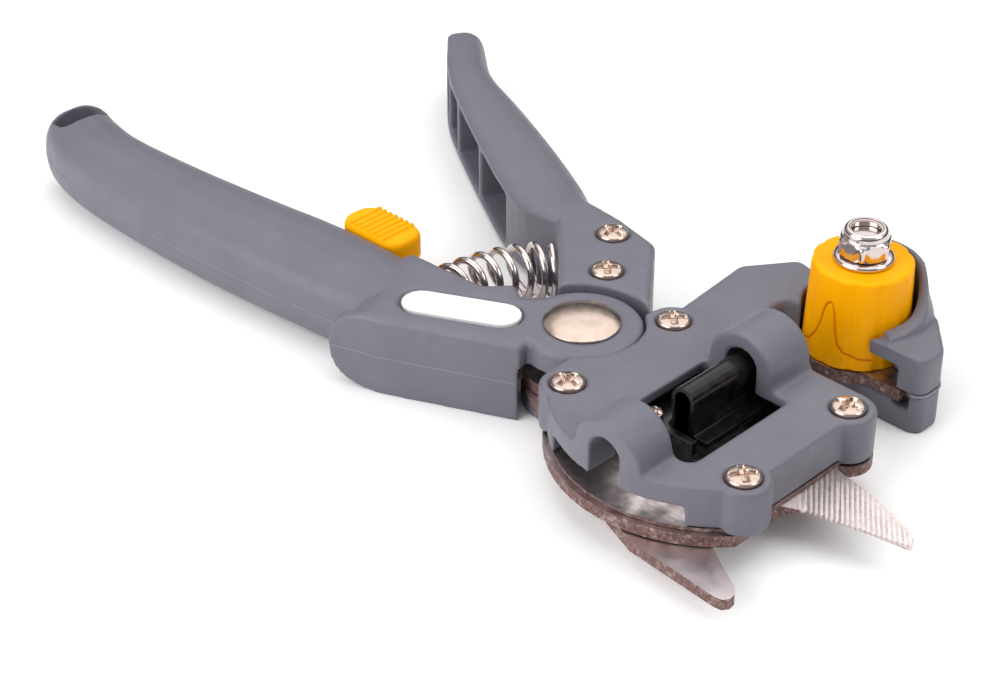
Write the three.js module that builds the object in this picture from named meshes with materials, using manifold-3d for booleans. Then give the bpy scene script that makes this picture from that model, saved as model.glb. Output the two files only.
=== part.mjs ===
// Grafting pruner: a hand tool with two levers, a bypass pruning blade and an
// omega-shaped grafting blade that is driven through the head onto a round anvil.
// Millimetres, +Z up. The pivot axis is the Z axis, the tool lies on z = 0, and +X
// runs from the pivot to the tips of the pruning blades.

import * as THREE from 'three';
import { mergeVertices } from 'three/addons/utils/BufferGeometryUtils.js';
import Module from 'manifold-3d';

const wasm = await Module();
wasm.setup();

// Driving sizes.

const CLEARANCE = 0.3; // between pieces that move or nest
const STACK_GAP = 0.1; // between flat faces that are clamped together
const OVERRUN = 2; // how far every cut runs past the stock

const HANDLE_HEIGHT = 18; // both levers, from the ground up
const FLOOR_DISC_THICKNESS = 3.3; // disc of the short lever below the plates
const LOWER_PLATE_THICKNESS = 2.4;
const BASE_PLATE_THICKNESS = 2.5;
const GUIDE_PLATE_THICKNESS = 0.8;
const COVER_HEIGHT = 9.9; // head cover above the base plate
const ROOF_THICKNESS = 2.6; // head cover over its cavity
const EDGE_ROUND = 1.2; // rounded rims of the mouldings

const PIVOT_EYE_RADIUS = 12.2;
const BOSS_RADIUS = 12.6;
const BOSS_DEPTH = 5.5;
const RIVET_SHANK_RADIUS = 4;
const RIVET_HEAD_RADIUS = 7.9;
const RIVET_HEAD_HEIGHT = 2;
const RIVET_TAIL_RADIUS = 6.4;
const RIVET_TAIL_HEIGHT = 1.3;
const SPACER_RADIUS = 7;
const SWING = 25 * Math.PI / 180; // travel of the short lever

const HEAD_X = 34.8; // middle of the four cover screws
const HEAD_Y = -2.7;
const SCREW_SPAN_X = 43.5;
const SCREW_SPAN_Y = 31;
const POST_RADIUS = 5.6;
const ARC_OFFSET = 1.3; // from the middle of the screws to the centre of the curved side
const SKIRT_OVERHANG = 3.8; // curved side beyond its screws
const SKIRT_RADIUS = Math.hypot(SCREW_SPAN_X / 2, SCREW_SPAN_Y / 2 + ARC_OFFSET) + SKIRT_OVERHANG;
const SKIRT_DROP = 4.6; // top of the cover down to the skirt's lower edge
const PLATE_MARGIN = 0.8; // base plate beyond the cover
const GUIDE_MARGIN = 1; // base plate beyond the guide plate

const TRACK_OFFSET = 0.5; // from the middle of the screws to the line of the tunnels and the anvil
const TRACK_X = HEAD_X + TRACK_OFFSET;
const TUNNEL_RADIUS = 3.7; // half the width of either tunnel
const TUNNEL_TOP = 24.8;
const HUMP_RADIUS = 7.9; // outside of either tunnel's arch
const HUMP_ROOF = 3.6; // arch above the tunnel
const WINDOW_WEST = 8.4; // from the track line to the window's sides
const WINDOW_EAST = 12;
const WINDOW_FRONT = 6.4; // edge of the window toward the anvil
const WINDOW_REAR = -22;

const ANVIL_Y = 44.4;
const ANVIL_RADIUS = 11.1;
const ANVIL_TOP_RADIUS = 10.3;
const ANVIL_HEIGHT = 20;
const ANVIL_BEVEL = 0.4;
const ANVIL_FACETS = 12;
const ANVIL_GROOVE_SHARE = 0.03;
const GUARD_WALL = 1.6; // at its top
const GUARD_HEIGHT = 18.7;
const ARM_WALL = 5.4; // moulding beyond the anvil
const ARM_HEIGHT = 8.8; // moulding round the anvil above the base plate
const ARM_REACH = 22; // anvil axis to the free end of the C-arm
const ARM_END = 6.2; // solid free end beyond the open step
const ARM_WIDTH = 13; // limb between the head and the anvil
const THROAT_EDGE = 36.5; // base plate under the anvil

const BOLT_RADIUS = 3;
const NUT_FLATS = 10;
const NUT_HEIGHT = 4.2;
const WASHER_RADIUS = 6.2;
const WASHER_THICKNESS = 1.4;

const PIN_ORBIT = TRACK_X / Math.cos(SWING / 2);
const PIN_RADIUS = 2;

const LONG_REACH = 150; // pivot to the end of the long lever
const SHORT_REACH = 140; // pivot to the tip of the short lever

const WIRE_RADIUS = 0.75;
const SPRING_TURNS = 7;

// Derived levels.

const LOWER_BOTTOM = FLOOR_DISC_THICKNESS + CLEARANCE;
const LOWER_TOP = LOWER_BOTTOM + LOWER_PLATE_THICKNESS;
const BASE_BOTTOM = LOWER_TOP + CLEARANCE;
const BASE_TOP = BASE_BOTTOM + BASE_PLATE_THICKNESS;
const MOULD_BOTTOM = BASE_TOP + STACK_GAP;
const GUIDE_TOP = MOULD_BOTTOM + GUIDE_PLATE_THICKNESS;
const COVER_TOP = BASE_TOP + COVER_HEIGHT;
const ROOF_BOTTOM = COVER_TOP - ROOF_THICKNESS;
const SKIRT_BOTTOM = COVER_TOP - SKIRT_DROP;
const BOSS_BOTTOM = HANDLE_HEIGHT - BOSS_DEPTH;
const ARM_TOP = BASE_TOP + ARM_HEIGHT;
const ANVIL_BOTTOM = BASE_TOP + STACK_GAP;
const ANVIL_TOP = ANVIL_BOTTOM + ANVIL_HEIGHT;
const GUARD_TOP = BASE_TOP + GUARD_HEIGHT;
const SWEEP_MARGIN = PIVOT_EYE_RADIUS + 1.3 * CLEARANCE; // clears whatever turns about the pivot

// Geometry helpers.

const ORIGIN = new THREE.Vector2();

function solid(geometry) {
  const bare = new THREE.BufferGeometry();
  bare.setAttribute('position', geometry.getAttribute('position').clone());
  if (geometry.index) bare.setIndex(geometry.index.clone());
  const merged = mergeVertices(bare);
  const vertProperties = Float32Array.from(merged.getAttribute('position').array);
  const triVerts = Uint32Array.from(merged.index.array);
  return new wasm.Manifold(new wasm.Mesh({ numProp: 3, vertProperties, triVerts }));
}

function geometryOf(body) {
  const mesh = body.getMesh();
  const geometry = new THREE.BufferGeometry();
  geometry.setAttribute('position', new THREE.BufferAttribute(Float32Array.from(mesh.vertProperties), 3));
  geometry.setIndex(Array.from(mesh.triVerts));
  return geometry;
}

function join(...bodies) {
  return bodies.reduce((sum, body) => sum.add(body));
}

function cut(body, ...tools) {
  return tools.reduce((rest, tool) => rest.subtract(tool), body);
}

// A flat outline pulled up between two levels, with its upper rim rounded by `round`.
function slab(outline, bottom, top, round = 0) {
  const shape = new THREE.Shape(outline);
  if (round === 0) {
    const plain = new THREE.ExtrudeGeometry(shape, { depth: top - bottom, bevelEnabled: false });
    plain.translate(0, 0, bottom);
    return solid(plain);
  }
  const start = bottom - 2 * round;
  const soft = new THREE.ExtrudeGeometry(shape, {
    depth: top - start - 2 * round,
    bevelThickness: round,
    bevelSize: round,
    bevelOffset: -round,
    bevelSegments: 2,
  });
  soft.translate(0, 0, start + round);
  soft.computeBoundingBox();
  const { min, max } = soft.boundingBox;
  const under = block(min.x - round, max.x + round, min.y - round, max.y + round, start - round, bottom);
  return solid(soft).subtract(under);
}

function block(x0, x1, y0, y1, z0, z1) {
  const box = new THREE.BoxGeometry(x1 - x0, y1 - y0, z1 - z0);
  box.translate((x0 + x1) / 2, (y0 + y1) / 2, (z0 + z1) / 2);
  return solid(box);
}

function circle(x, y, radius, steps = 32, from = 0, to = 2 * Math.PI) {
  const whole = to - from >= 2 * Math.PI;
  const count = whole ? steps : steps + 1;
  return Array.from({ length: count }, (_, i) => {
    const angle = from + (to - from) * i / steps;
    return new THREE.Vector2(x + radius * Math.cos(angle), y + radius * Math.sin(angle));
  });
}

function disc(x, y, radius, bottom, top, steps = 32) {
  return slab(circle(x, y, radius, steps), bottom, top);
}

// A polygon whose corners [x, y, radius] are rounded by arcs.
function rounded(corners, steps = 4) {
  const points = [];
  corners.forEach(([x, y, radius = 0], i) => {
    const here = new THREE.Vector2(x, y);
    const before = corners[(i + corners.length - 1) % corners.length];
    const after = corners[(i + 1) % corners.length];
    const back = new THREE.Vector2(before[0] - x, before[1] - y);
    const ahead = new THREE.Vector2(after[0] - x, after[1] - y);
    if (radius === 0) {
      points.push(here);
      return;
    }
    const half = Math.abs(back.angleTo(ahead)) / 2;
    const limit = 0.48 * Math.min(back.length(), ahead.length());
    const reach = Math.min(radius / Math.tan(half), limit);
    const bend = reach * Math.tan(half);
    const start = here.clone().addScaledVector(back.normalize(), reach);
    const middle = back.clone().add(ahead.normalize()).normalize();
    const centre = here.clone().addScaledVector(middle, bend / Math.sin(half));
    const first = start.clone().sub(centre);
    const end = here.clone().addScaledVector(ahead, reach).sub(centre);
    const turn = Math.atan2(first.cross(end), first.dot(end));
    for (let k = 0; k <= steps; k += 1) {
      points.push(first.clone().rotateAround(ORIGIN, turn * k / steps).add(centre));
    }
  });
  return points;
}

function turned(profile, x, y, steps = 24) {
  const lathe = new THREE.LatheGeometry(profile.map(([r, z]) => new THREE.Vector2(r, z)), steps);
  lathe.rotateX(Math.PI / 2);
  lathe.translate(x, y, 0);
  return solid(lathe);
}

// Rings of equal length joined into one closed skin.
function skin(rings) {
  const count = rings[0].length;
  const positions = rings.flat().flatMap((p) => [p.x, p.y, p.z]);
  const faces = [];
  for (let r = 0; r + 1 < rings.length; r += 1) {
    for (let k = 0; k < count; k += 1) {
      const a = r * count + k;
      const b = r * count + (k + 1) % count;
      faces.push([a, b, b + count], [a, b + count, a + count]);
    }
  }
  const last = (rings.length - 1) * count;
  for (let k = 1; k + 1 < count; k += 1) {
    faces.push([0, k + 1, k], [last, last + k, last + k + 1]);
  }
  const at = (i) => new THREE.Vector3(...positions.slice(3 * i, 3 * i + 3));
  const volume = faces.reduce((sum, [a, b, c]) => sum + at(a).dot(at(b).cross(at(c))), 0);
  const wound = volume < 0 ? faces.map(([a, b, c]) => [a, c, b]) : faces;
  const geometry = new THREE.BufferGeometry();
  geometry.setAttribute('position', new THREE.Float32BufferAttribute(positions, 3));
  geometry.setIndex(wound.flat());
  return geometry;
}

function scaled(shares, length) {
  return shares.map(([x, y]) => new THREE.Vector3(x * length, y * length, 0));
}

// A lever: rounded sections strung between an inner and an outer edge line.
function lever(inner, outer, lift, rings, sides, flatSide = 0) {
  const innerLine = new THREE.CatmullRomCurve3(inner);
  const outerLine = new THREE.CatmullRomCurve3(outer);
  const liftLine = new THREE.CatmullRomCurve3(lift);
  const power = 2 / 2.7;
  const sections = [];
  for (let i = 0; i <= rings; i += 1) {
    const near = innerLine.getPoint(i / rings);
    const far = outerLine.getPoint(i / rings);
    const across = far.clone().sub(near);
    const width = across.length();
    across.normalize();
    const height = liftLine.getPoint(i / rings).x;
    const reach = (width + flatSide) / 2;
    const ring = [];
    for (let k = 0; k < sides; k += 1) {
      const angle = 2 * Math.PI * (k + 0.5) / sides;
      const c = Math.cos(angle);
      const s = Math.sin(angle);
      const u = width - reach + reach * Math.sign(c) * Math.abs(c) ** power;
      const z = HANDLE_HEIGHT / 2 + height * Math.sign(s) * Math.abs(s) ** power;
      const point = near.clone().addScaledVector(across, Math.max(u, 0));
      ring.push(point.setZ(z));
    }
    sections.push(ring);
  }
  return solid(skin(sections));
}

// Outlines of the head.

const SCREWS = [
  [HEAD_X - SCREW_SPAN_X / 2, HEAD_Y - SCREW_SPAN_Y / 2],
  [HEAD_X - SCREW_SPAN_X / 2, HEAD_Y + SCREW_SPAN_Y / 2],
  [HEAD_X + SCREW_SPAN_X / 2, HEAD_Y + SCREW_SPAN_Y / 2],
  [HEAD_X + SCREW_SPAN_X / 2, HEAD_Y - SCREW_SPAN_Y / 2],
];
const POST_WEST = SCREWS[0][0];
const POST_EAST = SCREWS[2][0];
const POST_SOUTH = SCREWS[0][1];
const POST_NORTH = SCREWS[1][1];
const COVER_NORTH = POST_NORTH + POST_RADIUS;
const COVER_WEST = POST_WEST - POST_RADIUS;
const COVER_EAST = POST_EAST + POST_RADIUS;
const SIDE_RECESS = 3.1; // cover wall behind the bulges of its posts
const ARC_Y = HEAD_Y + ARC_OFFSET; // centre of the curved side
const CAVITY_HALF = SCREW_SPAN_X / 2 - POST_RADIUS - CLEARANCE;
const FRONT_WALL = 2.5;
const CAVITY_NORTH = COVER_NORTH - FRONT_WALL;
const CAVITY_SOUTH = WINDOW_REAR - ROOF_THICKNESS;
const LIMB_WEST = ANVIL_RADIUS - CLEARANCE; // x of the limb's outer side
const LIMB_EAST = LIMB_WEST + ARM_WIDTH;
const ARM_SOUTH = COVER_NORTH + PLATE_MARGIN + CLEARANCE;

// The field of either head plate: straight to the anvil's side, curved to the other.
function field(margin) {
  const corner = POST_RADIUS + margin;
  const sheet = rounded([
    [COVER_WEST - margin, POST_SOUTH - SKIRT_RADIUS / 2],
    [COVER_EAST - SIDE_RECESS, POST_SOUTH - SKIRT_RADIUS / 2],
    [COVER_EAST - SIDE_RECESS, COVER_NORTH + margin, corner],
    [COVER_WEST - margin, COVER_NORTH + margin, corner],
  ]);
  return sheet;
}

function headPlate(margin, bottom, top) {
  const sheet = slab(field(margin), bottom, top);
  const arc = disc(HEAD_X, ARC_Y, SKIRT_RADIUS + margin, bottom, top, 56);
  const corner = disc(...SCREWS[2], POST_RADIUS + margin - PLATE_MARGIN, bottom, top, 24);
  return join(sheet, corner).intersect(arc);
}

// Slot that the drive pin sweeps while the levers close.
function pinSlot(bottom, top) {
  const half = PIN_RADIUS + 1.3 * CLEARANCE;
  const end = SWING / 2;
  const tip = (angle, turn) => circle(
    PIN_ORBIT * Math.cos(angle),
    PIN_ORBIT * Math.sin(angle),
    half,
    6,
    angle + turn,
    angle + turn + Math.PI,
  );
  const outer = circle(0, 0, PIN_ORBIT + half, 6, -end, end);
  const inner = circle(0, 0, PIN_ORBIT - half, 6, end, -end);
  const loop = [
    ...outer,
    ...tip(end, 0).slice(1, -1),
    ...inner,
    ...tip(-end, Math.PI).slice(1, -1),
  ];
  return slab(loop, bottom - OVERRUN, top + OVERRUN);
}

// Plates.

const TOOTH_COUNT = 19;
const TOOTH_DEPTH = 0.7;
const SERRATED_FOOT_SHARES = [[1.3, -0.25], [1.3, 0.2]];
const SERRATED_EDGE_SHARES = [[1.437, -0.184], [1.885, -0.08]];
const SERRATED_BACK_SHARES = [
  [1.9, -0.062], [1.902, -0.036], [1.89, -0.006], [1.86, 0.018], [1.722, 0.067], [1.591, 0.111],
  [1.393, 0.152],
];
const PLAIN_BLADE_SHARES = [
  [0.092, 0.264], [0.78, -0.02], [0.943, -0.09], [1.1, -0.32], [1.28, -0.575], [1.52, -0.715],
  [1.548, -0.748], [1.553, -0.785], [1.535, -0.812], [1.5, -0.819], [1.009, -0.786], [0.506, -0.598],
  [-0.138, -0.244],
];

// Pruning blade of the base plate: saw teeth on its cutting edge, a rounded tip.
function serratedBlade() {
  const placed = (shares) => shares.map(([x, y]) => new THREE.Vector2(x, y).multiplyScalar(SCREW_SPAN_X));
  const [nearFoot, farFoot] = placed(SERRATED_FOOT_SHARES);
  const [heel, tip] = placed(SERRATED_EDGE_SHARES);
  const pitch = tip.clone().sub(heel).divideScalar(TOOTH_COUNT);
  const inward = new THREE.Vector2(-pitch.y, pitch.x).setLength(TOOTH_DEPTH);
  const points = [nearFoot, heel];
  for (let i = 0; i < TOOTH_COUNT; i += 1) {
    points.push(heel.clone().addScaledVector(pitch, i + 0.35).add(inward));
    points.push(heel.clone().addScaledVector(pitch, i + 1));
  }
  return [...points, ...placed(SERRATED_BACK_SHARES), farFoot];
}

function limbOutline(inset) {
  return rounded([
    [LIMB_WEST + inset, ARM_SOUTH - POST_RADIUS],
    [LIMB_EAST - inset, ARM_SOUTH - POST_RADIUS],
    [LIMB_EAST - inset, THROAT_EDGE + inset, 3 * EDGE_ROUND],
    [TRACK_X, THROAT_EDGE + inset],
    [TRACK_X, ANVIL_Y],
    [LIMB_WEST + ARM_WALL + inset, ANVIL_Y + ARM_WALL - inset, 2 * EDGE_ROUND],
    [LIMB_WEST - 2 * EDGE_ROUND + inset, ANVIL_Y - ARM_WALL + inset, 2 * EDGE_ROUND],
  ]);
}

const ARM_TURN_SHARES = [0.636, 0.355]; // corner of the free end behind the anvil, from its axis
const ARM_LEAN = 1.4; // the moulding's wall leans inward by this up to the arm's top

function armEast(inset) {
  const east = TRACK_X + ARM_REACH;
  const [turnX, turnY] = ARM_TURN_SHARES.map((share) => share * ARM_REACH);
  return rounded([
    [TRACK_X, THROAT_EDGE + inset],
    [east - inset, THROAT_EDGE + inset, 2 * EDGE_ROUND],
    [east - inset, ANVIL_Y - EDGE_ROUND, 3 * EDGE_ROUND],
    [TRACK_X + turnX - inset, ANVIL_Y + turnY - inset],
    [TRACK_X, ANVIL_Y + ARM_WALL],
  ]);
}

// Plan of the C-arm round the anvil, without the limb that ties it to the head.
function armHead(inset, edge, bottom, top, lean = 0) {
  const radius = ANVIL_RADIUS + ARM_WALL - inset;
  const wall = [[0, bottom], [radius, bottom], [radius - lean, top], [0, top]];
  const around = turned(wall, TRACK_X, ANVIL_Y, 48);
  const reach = 2 * ANVIL_RADIUS;
  const behind = block(TRACK_X - reach, TRACK_X + reach, edge, ANVIL_Y + reach, bottom, top);
  return join(around.intersect(behind), slab(armEast(inset), bottom, top));
}

function armField(inset, edge, bottom, top) {
  return join(armHead(inset, edge, bottom, top), slab(limbOutline(inset), bottom, top));
}

const PLATE_INSET = 2.2; // moulding round the edge of the base plate
const PLATE_END = TRACK_X + ARM_REACH - ARM_END + EDGE_ROUND;

function throatPlate(inset) {
  const bed = disc(TRACK_X, ANVIL_Y, ANVIL_RADIUS + CLEARANCE, BASE_BOTTOM, BASE_TOP, 40);
  const rest = armField(inset, THROAT_EDGE, BASE_BOTTOM, BASE_TOP);
  const front = block(
    TRACK_X - ANVIL_RADIUS,
    PLATE_END,
    THROAT_EDGE,
    ANVIL_Y,
    BASE_BOTTOM,
    BASE_TOP,
  );
  return join(bed, rest, front);
}

const TANG_LENGTH = 34;
const TANG_WIDTH = 13;
const TANG_ANGLE = 25 * Math.PI / 180;

function tang(length, width, angle, bottom, top, gap = 0) {
  const bar = block(-gap, length + gap, -width / 2 - gap, width / 2 + gap, bottom - gap, top + gap);
  return bar.rotate([0, 0, THREE.MathUtils.radToDeg(angle)]);
}

function basePlate() {
  const eye = disc(0, 0, PIVOT_EYE_RADIUS, BASE_BOTTOM, BASE_TOP, 40);
  const shank = tang(TANG_LENGTH, TANG_WIDTH, Math.PI + TANG_ANGLE, BASE_BOTTOM, BASE_TOP);
  const blade = slab(serratedBlade(), BASE_BOTTOM, BASE_TOP);
  const head = headPlate(PLATE_MARGIN, BASE_BOTTOM, BASE_TOP);
  const whole = join(eye, shank, head, blade, throatPlate(PLATE_INSET));
  const holes = SCREWS.map(([x, y]) => disc(x, y, SCREW_SHANK + CLEARANCE, LOWER_TOP, COVER_TOP, 12));
  const boltHole = disc(TRACK_X, ANVIL_Y, BOLT_RADIUS + CLEARANCE, LOWER_TOP, COVER_TOP, 20);
  const eyeHole = disc(0, 0, RIVET_SHANK_RADIUS + CLEARANCE, LOWER_TOP, COVER_TOP, 28);
  return cut(whole, ...holes, boltHole, eyeHole, pinSlot(BASE_BOTTOM, BASE_TOP));
}

function guidePlate() {
  const sheet = headPlate(PLATE_MARGIN - GUIDE_MARGIN, MOULD_BOTTOM, GUIDE_TOP);
  const round = disc(0, 0, SWEEP_MARGIN, BASE_TOP, COVER_TOP, 40);
  const holes = SCREWS.map(([x, y]) => disc(x, y, SCREW_SHANK + CLEARANCE, LOWER_TOP, COVER_TOP, 12));
  return cut(sheet, round, ...holes, pinSlot(MOULD_BOTTOM, GUIDE_TOP));
}

function plainBlade() {
  const outline = PLAIN_BLADE_SHARES.map(([x, y]) => new THREE.Vector2(x, y).multiplyScalar(SCREW_SPAN_X));
  const blade = slab(outline, LOWER_BOTTOM, LOWER_TOP);
  const eye = disc(0, 0, PIVOT_EYE_RADIUS, LOWER_BOTTOM, LOWER_TOP, 40);
  const shank = tang(TANG_LENGTH, TANG_WIDTH, SHORT_TANG_ANGLE, LOWER_BOTTOM, LOWER_TOP);
  const eyeHole = disc(0, 0, RIVET_SHANK_RADIUS + CLEARANCE, 0, COVER_TOP, 28);
  const pinHole = disc(...PIN_PLACE, PIN_RADIUS + STACK_GAP, 0, COVER_TOP, 16);
  const screwHoles = BLOCK_SCREWS.map(([x, y]) => disc(x, y, SCREW_SHANK + CLEARANCE, 0, COVER_TOP, 12));
  return cut(join(eye, blade, shank), eyeHole, pinHole, ...screwHoles);
}

const PIN_PLACE = [PIN_ORBIT * Math.cos(SWING / 2), -PIN_ORBIT * Math.sin(SWING / 2)];

// Head cover.

const SCREW_SHANK = 1.6;
const SCREW_HEAD_RADIUS = 3.4;
const SCREW_HEAD_HEIGHT = 1.9;
const SCREW_SINK = 1.1;

// Arch of a tunnel in the x-z plane, for the hump outside or the bore inside.
function arch(half, crown, foot, flare) {
  const spring = crown - half;
  const points = [
    new THREE.Vector2(-half - flare, foot),
    new THREE.Vector2(half + flare, foot),
  ];
  if (flare > 0) points.push(...circle(half + flare, foot + flare, flare, 4, -Math.PI / 2, -Math.PI));
  points.push(...circle(0, spring, half, 14, 0, Math.PI));
  if (flare > 0) points.push(...circle(-half - flare, foot + flare, flare, 4, 0, -Math.PI / 2));
  return points;
}

function tunnel(outline, south, north) {
  const tube = new THREE.ExtrudeGeometry(new THREE.Shape(outline), { depth: north - south, bevelEnabled: false });
  tube.rotateX(Math.PI / 2);
  tube.translate(TRACK_X, north, 0);
  return solid(tube);
}

function coverShell() {
  const sheet = rounded([
    [COVER_WEST, POST_SOUTH],
    [POST_WEST, POST_SOUTH - SKIRT_RADIUS / 2],
    [POST_EAST, POST_SOUTH - SKIRT_RADIUS / 2],
    [COVER_EAST - SIDE_RECESS, POST_SOUTH],
    [COVER_EAST - SIDE_RECESS, COVER_NORTH - EDGE_ROUND],
    [POST_EAST, COVER_NORTH],
    [POST_WEST, COVER_NORTH],
    [COVER_WEST, POST_NORTH],
  ]);
  const arc = disc(HEAD_X, ARC_Y, SKIRT_RADIUS, 0, COVER_TOP + OVERRUN, 64);
  const roof = slab(sheet, MOULD_BOTTOM, COVER_TOP).intersect(arc);
  const posts = SCREWS.map(([x, y]) => slab(circle(x, y, POST_RADIUS, 28), MOULD_BOTTOM, COVER_TOP, EDGE_ROUND / 2));
  return join(roof, ...posts);
}

function humps() {
  const foot = COVER_TOP - EDGE_ROUND;
  const outline = arch(HUMP_RADIUS, TUNNEL_TOP + HUMP_ROOF, foot, 2.4 * EDGE_ROUND);
  const front = tunnel(outline, WINDOW_FRONT, COVER_NORTH);
  const rearOutline = arch(HUMP_RADIUS, TUNNEL_TOP + HUMP_ROOF - EDGE_ROUND, foot, 2.4 * EDGE_ROUND);
  const reach = ARC_Y - SKIRT_RADIUS - OVERRUN;
  const arc = disc(HEAD_X, ARC_Y, SKIRT_RADIUS, 0, TUNNEL_TOP + 2 * HUMP_ROOF, 64);
  const rear = tunnel(rearOutline, reach, WINDOW_REAR).intersect(arc);
  return join(front, rear);
}

// Everything that the cover leaves open: cavity, window, tunnels and the arc-shaped slot.
function coverHollows() {
  const cavity = block(
    HEAD_X - CAVITY_HALF,
    HEAD_X + CAVITY_HALF,
    CAVITY_SOUTH,
    CAVITY_NORTH,
    0,
    ROOF_BOTTOM,
  );
  const window = slab(rounded([
    [TRACK_X - WINDOW_WEST, WINDOW_REAR, EDGE_ROUND],
    [TRACK_X + WINDOW_EAST, WINDOW_REAR, 2 * EDGE_ROUND],
    [TRACK_X + WINDOW_EAST, WINDOW_FRONT, EDGE_ROUND],
    [TRACK_X - WINDOW_WEST, WINDOW_FRONT, EDGE_ROUND],
  ]), 0, COVER_TOP + OVERRUN);
  const reach = ARC_Y - SKIRT_RADIUS - OVERRUN;
  const bore = arch(TUNNEL_RADIUS, TUNNEL_TOP, 0, 0);
  const front = tunnel(bore, WINDOW_FRONT - OVERRUN, COVER_NORTH + OVERRUN);
  const rear = tunnel(arch(TUNNEL_RADIUS, TUNNEL_TOP - EDGE_ROUND, 0, 0), reach, 0);
  const sole = block(
    TRACK_X - FLANGE_HALF - 2 * CLEARANCE,
    TRACK_X + FLANGE_HALF + 2 * CLEARANCE,
    WINDOW_FRONT,
    COVER_NORTH + OVERRUN,
    0,
    FLANGE_TOP + 2 * CLEARANCE,
  );
  const slot = block(
    POST_WEST + POST_RADIUS,
    POST_EAST - POST_RADIUS,
    reach,
    CAVITY_SOUTH + OVERRUN,
    0,
    SKIRT_BOTTOM,
  );
  return join(cavity, window, front, rear, sole, slot);
}

// The cover's half of the C-arm, with the guard round the back of the anvil.
function coverArm() {
  const low = armHead(0, THROAT_EDGE + 2 * EDGE_ROUND, MOULD_BOTTOM, ARM_TOP, ARM_LEAN);
  const limb = slab(limbOutline(0), MOULD_BOTTOM, COVER_TOP - STACK_GAP, EDGE_ROUND);
  const seat = disc(TRACK_X, ANVIL_Y, ANVIL_RADIUS + 1.5 * CLEARANCE, 0, GUARD_TOP + OVERRUN, 44);
  return join(low, limb, guard()).subtract(seat);
}

// Its rim falls in a hollow curve from the back of the anvil to the arm's top.
const GUARD_RIM_SHARES = [
  [0.64, 1], [0.535, 0.973], [0.428, 0.888], [0.321, 0.765], [0.214, 0.663], [0.107, 0.599], [-0.053, 0.572],
  [-0.267, 0.556], [-0.64, 0.545],
];
const GUARD_SKIN_SHARES = [
  [0.76, 0.428], [0.72, 0.492], [0.648, 0.556], [0.556, 0.631], [0.481, 0.717], [0.426, 0.802], [0.37, 0.898],
];

function guard() {
  const inner = ANVIL_RADIUS + CLEARANCE;
  const crown = inner + GUARD_WALL;
  const wall = turned([
    [inner, MOULD_BOTTOM],
    [ANVIL_RADIUS + ARM_WALL - CLEARANCE, MOULD_BOTTOM],
    ...GUARD_SKIN_SHARES.map(([x, z]) => [ANVIL_RADIUS + x * ARM_WALL, BASE_TOP + z * GUARD_HEIGHT]),
    [crown, GUARD_TOP - EDGE_ROUND / 2],
    [crown - EDGE_ROUND / 2, GUARD_TOP],
    [inner + CLEARANCE, GUARD_TOP],
    [inner, GUARD_TOP - CLEARANCE],
    [inner, MOULD_BOTTOM],
  ], TRACK_X, ANVIL_Y, 40);
  const reach = 2 * ANVIL_RADIUS;
  const rim = GUARD_RIM_SHARES.map(([y, z]) => [y * GUARD_HEIGHT, z * GUARD_HEIGHT]);
  const side = [[-2 * reach, rim.at(-1)[1]], [-2 * reach, -OVERRUN], [2 * reach, -OVERRUN], [2 * reach, rim[0][1]]];
  const shape = new THREE.Shape([...rim, ...side].map(([y, z]) => new THREE.Vector2(ANVIL_Y + y, BASE_TOP + z)));
  const under = new THREE.ExtrudeGeometry(shape, { depth: 2 * reach, bevelEnabled: false });
  under.rotateX(Math.PI / 2);
  under.rotateZ(Math.PI / 2);
  under.translate(TRACK_X - reach, 0, 0);
  const wedge = slab([
    new THREE.Vector2(TRACK_X, ANVIL_Y),
    new THREE.Vector2(TRACK_X + reach, ANVIL_Y - 0.55 * reach),
    new THREE.Vector2(TRACK_X + reach, ANVIL_Y + reach),
    new THREE.Vector2(TRACK_X - reach / 2, ANVIL_Y + reach),
  ], 0, GUARD_TOP + OVERRUN);
  return wall.intersect(wedge).intersect(solid(under));
}

// Open step below the finger that reaches over the base plate beside the anvil.
function fingerGap() {
  return block(
    TRACK_X,
    TRACK_X + ARM_REACH - ARM_END,
    THROAT_EDGE,
    ANVIL_Y - ARM_WALL / 2,
    0,
    ARM_TOP - FINGER_THICKNESS,
  );
}

const FINGER_THICKNESS = 3.6;

function finger() {
  const east = TRACK_X + ARM_REACH - 2 * EDGE_ROUND;
  const lip = slab(rounded([
    [TRACK_X + ANVIL_RADIUS / 2, THROAT_EDGE, EDGE_ROUND],
    [east, THROAT_EDGE, 2 * EDGE_ROUND],
    [east, ANVIL_Y],
    [TRACK_X, ANVIL_Y],
  ]), ARM_TOP - FINGER_THICKNESS, ARM_TOP, EDGE_ROUND / 2);
  return lip.subtract(disc(TRACK_X, ANVIL_Y, ANVIL_RADIUS + 1.5 * CLEARANCE, 0, GUARD_TOP + OVERRUN, 44));
}

function headCover() {
  const arm = join(cut(coverArm(), fingerGap()), finger());
  const whole = join(coverShell(), humps(), arm);
  const pivotRoom = disc(0, 0, BOSS_RADIUS + CLEARANCE, 0, GUARD_TOP, 40);
  const plateRoom = headPlate(PLATE_MARGIN - GUIDE_MARGIN + CLEARANCE, 0, GUIDE_TOP + STACK_GAP);
  const screwRoom = SCREWS.flatMap(([x, y]) => [
    disc(x, y, SCREW_SHANK + CLEARANCE, 0, GUARD_TOP, 12),
    disc(x, y, SCREW_HEAD_RADIUS + CLEARANCE, COVER_TOP - SCREW_SINK, GUARD_TOP, 24),
  ]);
  return cut(whole, coverHollows(), pivotRoom, plateRoom, ...screwRoom);
}

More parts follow.
